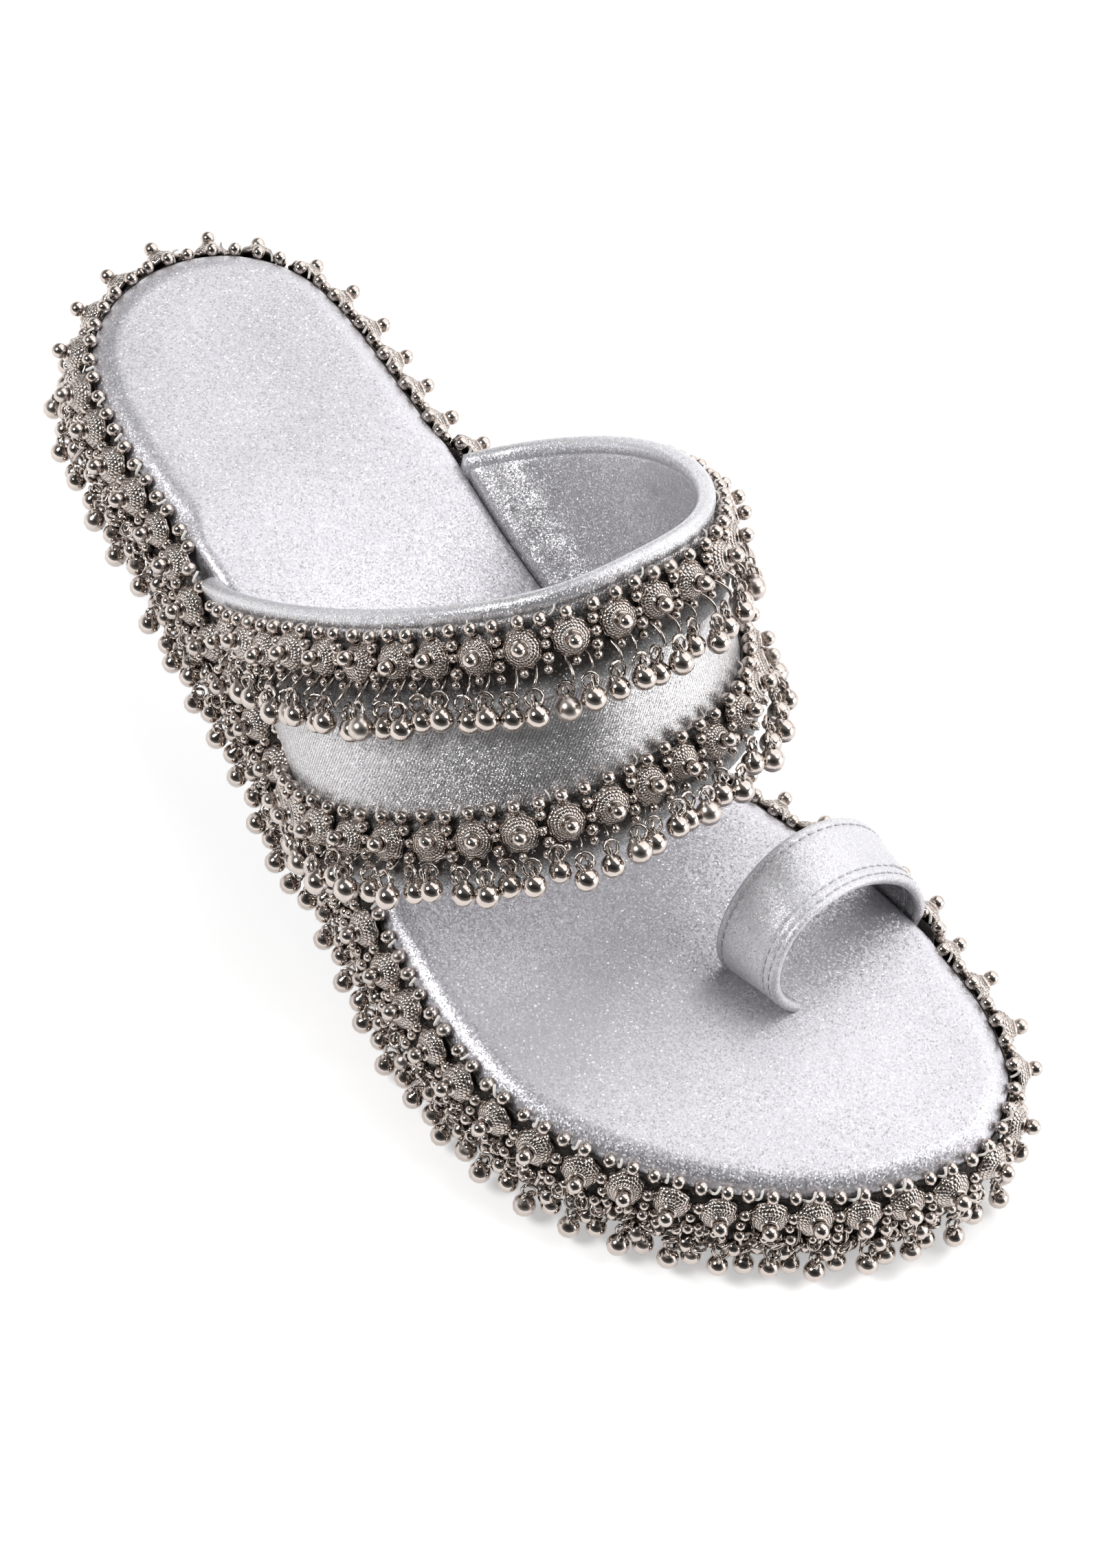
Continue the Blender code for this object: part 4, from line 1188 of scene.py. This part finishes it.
studio = {
    "floor": (0.95, 0.95, 0.95), "floorRough": 0.9, "floorGlow": 0.38, "floorHalf": 1.1,
    "walls": (0.05, 0.5, 0.95, 0.19),   # from white walls to a dim ceiling, by the height of the look
    "dimSide": (0.82, 0.57, 0.0), "dim": (0.1, 0.65, 1.0, 0.22),   # the room is dim behind the camera
    "softboxes": [   # name, direction, distance, size, watts
        ("keySoftbox", (-0.66, -0.10, 0.75), 1.3, 1.7, 14.8),
        ("lateralSoftbox", (0.60, -0.31, 0.74), 1.3, 0.4, 9.0),
        ("frontSoftbox", (-0.62, 0.75, 0.25), 1.3, 0.9, 6.0),
        ("slopeSoftbox", (-0.45, 0.40, 0.80), 1.3, 0.5, 2.2)],
}


def buildFloor():
    floor = finishObject("studioFloor", bpy.data.meshes.new("studioFloor"))
    half = studio["floorHalf"]
    corners = [(-half, -half, 0), (half, -half, 0), (half, half, 0), (-half, half, 0)]
    floor.data.from_pydata(corners, [], [(0, 1, 2, 3)])
    mat, tree, shader = newFinish("paleFloor")
    paintShader(tree, shader, {
        "Base Color": (*studio["floor"], 1.0), "Roughness": studio["floorRough"],
        "Emission Color": (1.0, 1.0, 1.0, 1.0), "Emission Strength": studio["floorGlow"]})
    floor.data.materials.append(mat)


def smoothRange(tree, value, limits):
    # eases from the third number to the fourth while the value goes from the first to the second
    inputs = dict(zip(("Value", "From Min", "From Max", "To Min", "To Max"), (value, *limits)))
    return makeNode(tree, "ShaderNodeMapRange", inputs, interpolation_type="SMOOTHSTEP").outputs["Result"]


def buildRoom():
    world = bpy.data.worlds.new("studioRoom")
    bpy.context.scene.world = world
    world.use_nodes = True
    tree = world.node_tree
    look = makeNode(tree, "ShaderNodeTexCoord", {}).outputs["Generated"]
    side = makeNode(tree, "ShaderNodeVectorMath", {0: look, 1: studio["dimSide"]}, operation="DOT_PRODUCT")
    walls = smoothRange(tree, splitNode(tree, look)["Z"], studio["walls"])
    dim = smoothRange(tree, side.outputs["Value"], studio["dim"])
    paintShader(tree, tree.nodes["Background"], {
        "Color": (1.0, 1.0, 1.0, 1.0), "Strength": mathNode(tree, "MULTIPLY", walls, dim)})


def buildSoftboxes():
    for name, direction, reach, size, watts in studio["softboxes"]:
        lamp = bpy.data.objects.new(name, bpy.data.lights.new(name, "AREA"))
        lamp.data.size = size
        lamp.data.energy = watts
        bpy.context.scene.collection.objects.link(lamp)
        away = Vector(direction).normalized()
        lamp.location = away * reach
        lamp.rotation_euler = away.to_track_quat("Z", "Y").to_euler()


photoCamera = {"azimuth": 54.97, "elevation": 56.78, "roll": 15.85, "distance": 0.7001,
               "target": (-0.0146, 0.0097, 0.017), "lens": 77.7}


def buildCamera():
    azimuth, elevation, roll = (math.radians(photoCamera[k]) for k in ("azimuth", "elevation", "roll"))
    level = math.cos(elevation)
    back = Vector((math.sin(azimuth) * level, math.cos(azimuth) * level, math.sin(elevation)))
    right = Vector((0, 0, 1)).cross(back).normalized()
    up = back.cross(right)
    x = right * math.cos(roll) + up * math.sin(roll)
    y = up * math.cos(roll) - right * math.sin(roll)
    camera = bpy.data.objects.new("photoCamera", bpy.data.cameras.new("photoCamera"))
    camera.data.lens = photoCamera["lens"]
    camera.data.clip_start = 0.01
    place = Vector(photoCamera["target"]) + back * photoCamera["distance"]
    camera.matrix_world = Matrix((x, y, back)).transposed().to_4x4()
    camera.location = place
    bpy.context.scene.collection.objects.link(camera)
    bpy.context.scene.camera = camera


buildFloor()
buildRoom()
buildSoftboxes()
buildCamera()
bpy.context.scene.view_settings.view_transform = "Standard"
print("studio ready")
